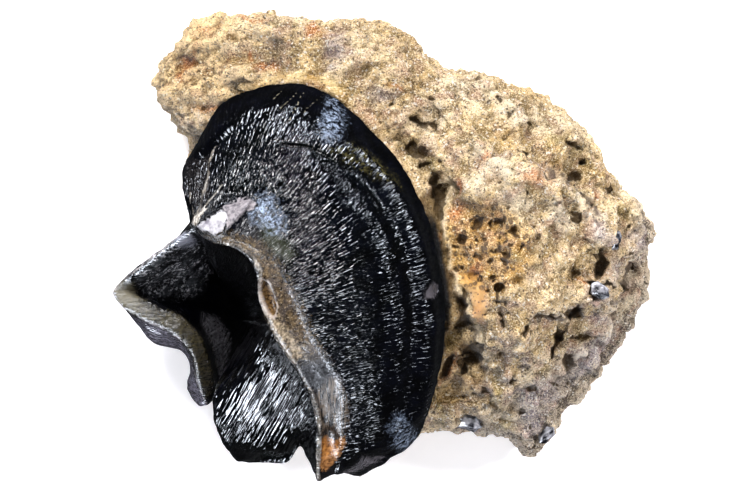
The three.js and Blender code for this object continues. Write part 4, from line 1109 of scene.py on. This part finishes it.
def make_splinter():
    f = Finish("splinter")
    clouds = f.noise(1.1, 3, 0.5)
    # Painted reflection: silvery grey clouds in the black glass of the splinters.
    f.colour = f.blend(f.level(clouds, 0.42, 0.62), (0.015, 0.015, 0.02), (0.50, 0.50, 0.54))
    normal = f.bump(f.noise(0.35, 3, 0.6), 0.12, 0.8)
    return f.set(Base_Color=f.colour, Roughness=0.12, Normal=normal, IOR=1.6)


# ------------------------------------------------------------------ the studio

def make_floor():
    form = bmesh.new()
    bmesh.ops.create_grid(form, x_segments=1, y_segments=1, size=1.5)
    mesh = bpy.data.meshes.new("floor")
    form.to_mesh(mesh)
    form.free()
    floor = bpy.data.objects.new("floor", mesh)
    bpy.context.scene.collection.objects.link(floor)
    mesh.materials.append(Finish("paper").set(
        Base_Color=(0.93, 0.92, 0.95), Roughness=0.9,
        Emission_Color=(1.0, 0.99, 1.0), Emission_Strength=PAPER_GLOW))
    floor.visible_glossy = False  # the enamel shows the lamps alone, as if among dark cards


def make_light(name, place, size, power, tint=(1, 1, 1), lit=True, mirrored=True):
    """A round lamp aimed at the specimen; it can be left out of the lighting or out of the gloss."""
    lamp = bpy.data.lights.new(name, "AREA")
    lamp.shape = "DISK"
    lamp.size = size
    lamp.energy = power
    lamp.color = tint
    holder = bpy.data.objects.new(name, lamp)
    holder.location = place
    holder.visible_diffuse = lit
    holder.visible_glossy = mirrored
    holder.rotation_euler = (Vector((0, 0, 0.02)) - Vector(place)).to_track_quat("-Z", "Y").to_euler()
    bpy.context.scene.collection.objects.link(holder)


def make_studio():
    scene = bpy.context.scene
    scene.view_settings.view_transform = "Standard"
    scene.view_settings.look = "Medium High Contrast"
    world = bpy.data.worlds.new("studio")
    world.use_nodes = True
    world.node_tree.nodes["Background"].inputs["Color"].default_value = (0.92, 0.96, 1.0, 1)
    world.node_tree.nodes["Background"].inputs["Strength"].default_value = ROOM_LIGHT
    scene.world = world
    for name, lamp in LAMPS.items():
        make_light(name, *lamp, WHITE)
    for name, lamp in FILLS.items():
        make_light(name, *lamp, WHITE, mirrored=False)
    for name, lamp in SOFT_BOXES.items():
        make_light(name, *lamp, COOL, lit=False)
    camera = bpy.data.cameras.new("camera")
    camera.lens = CAMERA_LENS
    camera.sensor_width = CAMERA_SENSOR
    camera.clip_start = 0.01
    holder = bpy.data.objects.new("camera", camera)
    holder.location = Vector(CAMERA_PLACE) * MM
    scene.collection.objects.link(holder)
    scene.camera = holder


# ------------------------------------------------------------------ putting it together

make_studio()
make_floor()

tooth = carve_tooth(fine_copy("tooth", "tooth_enamel", TOOTH_MESH, smooth=3))
rock = carve_rock(fine_copy("matrix", "rock_matrix", ROCK_MESH), tooth)
rock.visible_glossy = False
tooth.data.materials.append(make_enamel())
rock.data.materials.append(make_sandstone())
splinter = make_splinter()
for node in ("chip_lower", "chip_corner", "chip_end", "chip_edge"):
    chip = fine_copy(node, node + "_glass", CHIP_MESH)
    skin = Skin(chip)
    skin.push(0.12 * rough(skin.points, 0.9, 3, 5))
    chip.data.materials.append(splinter)
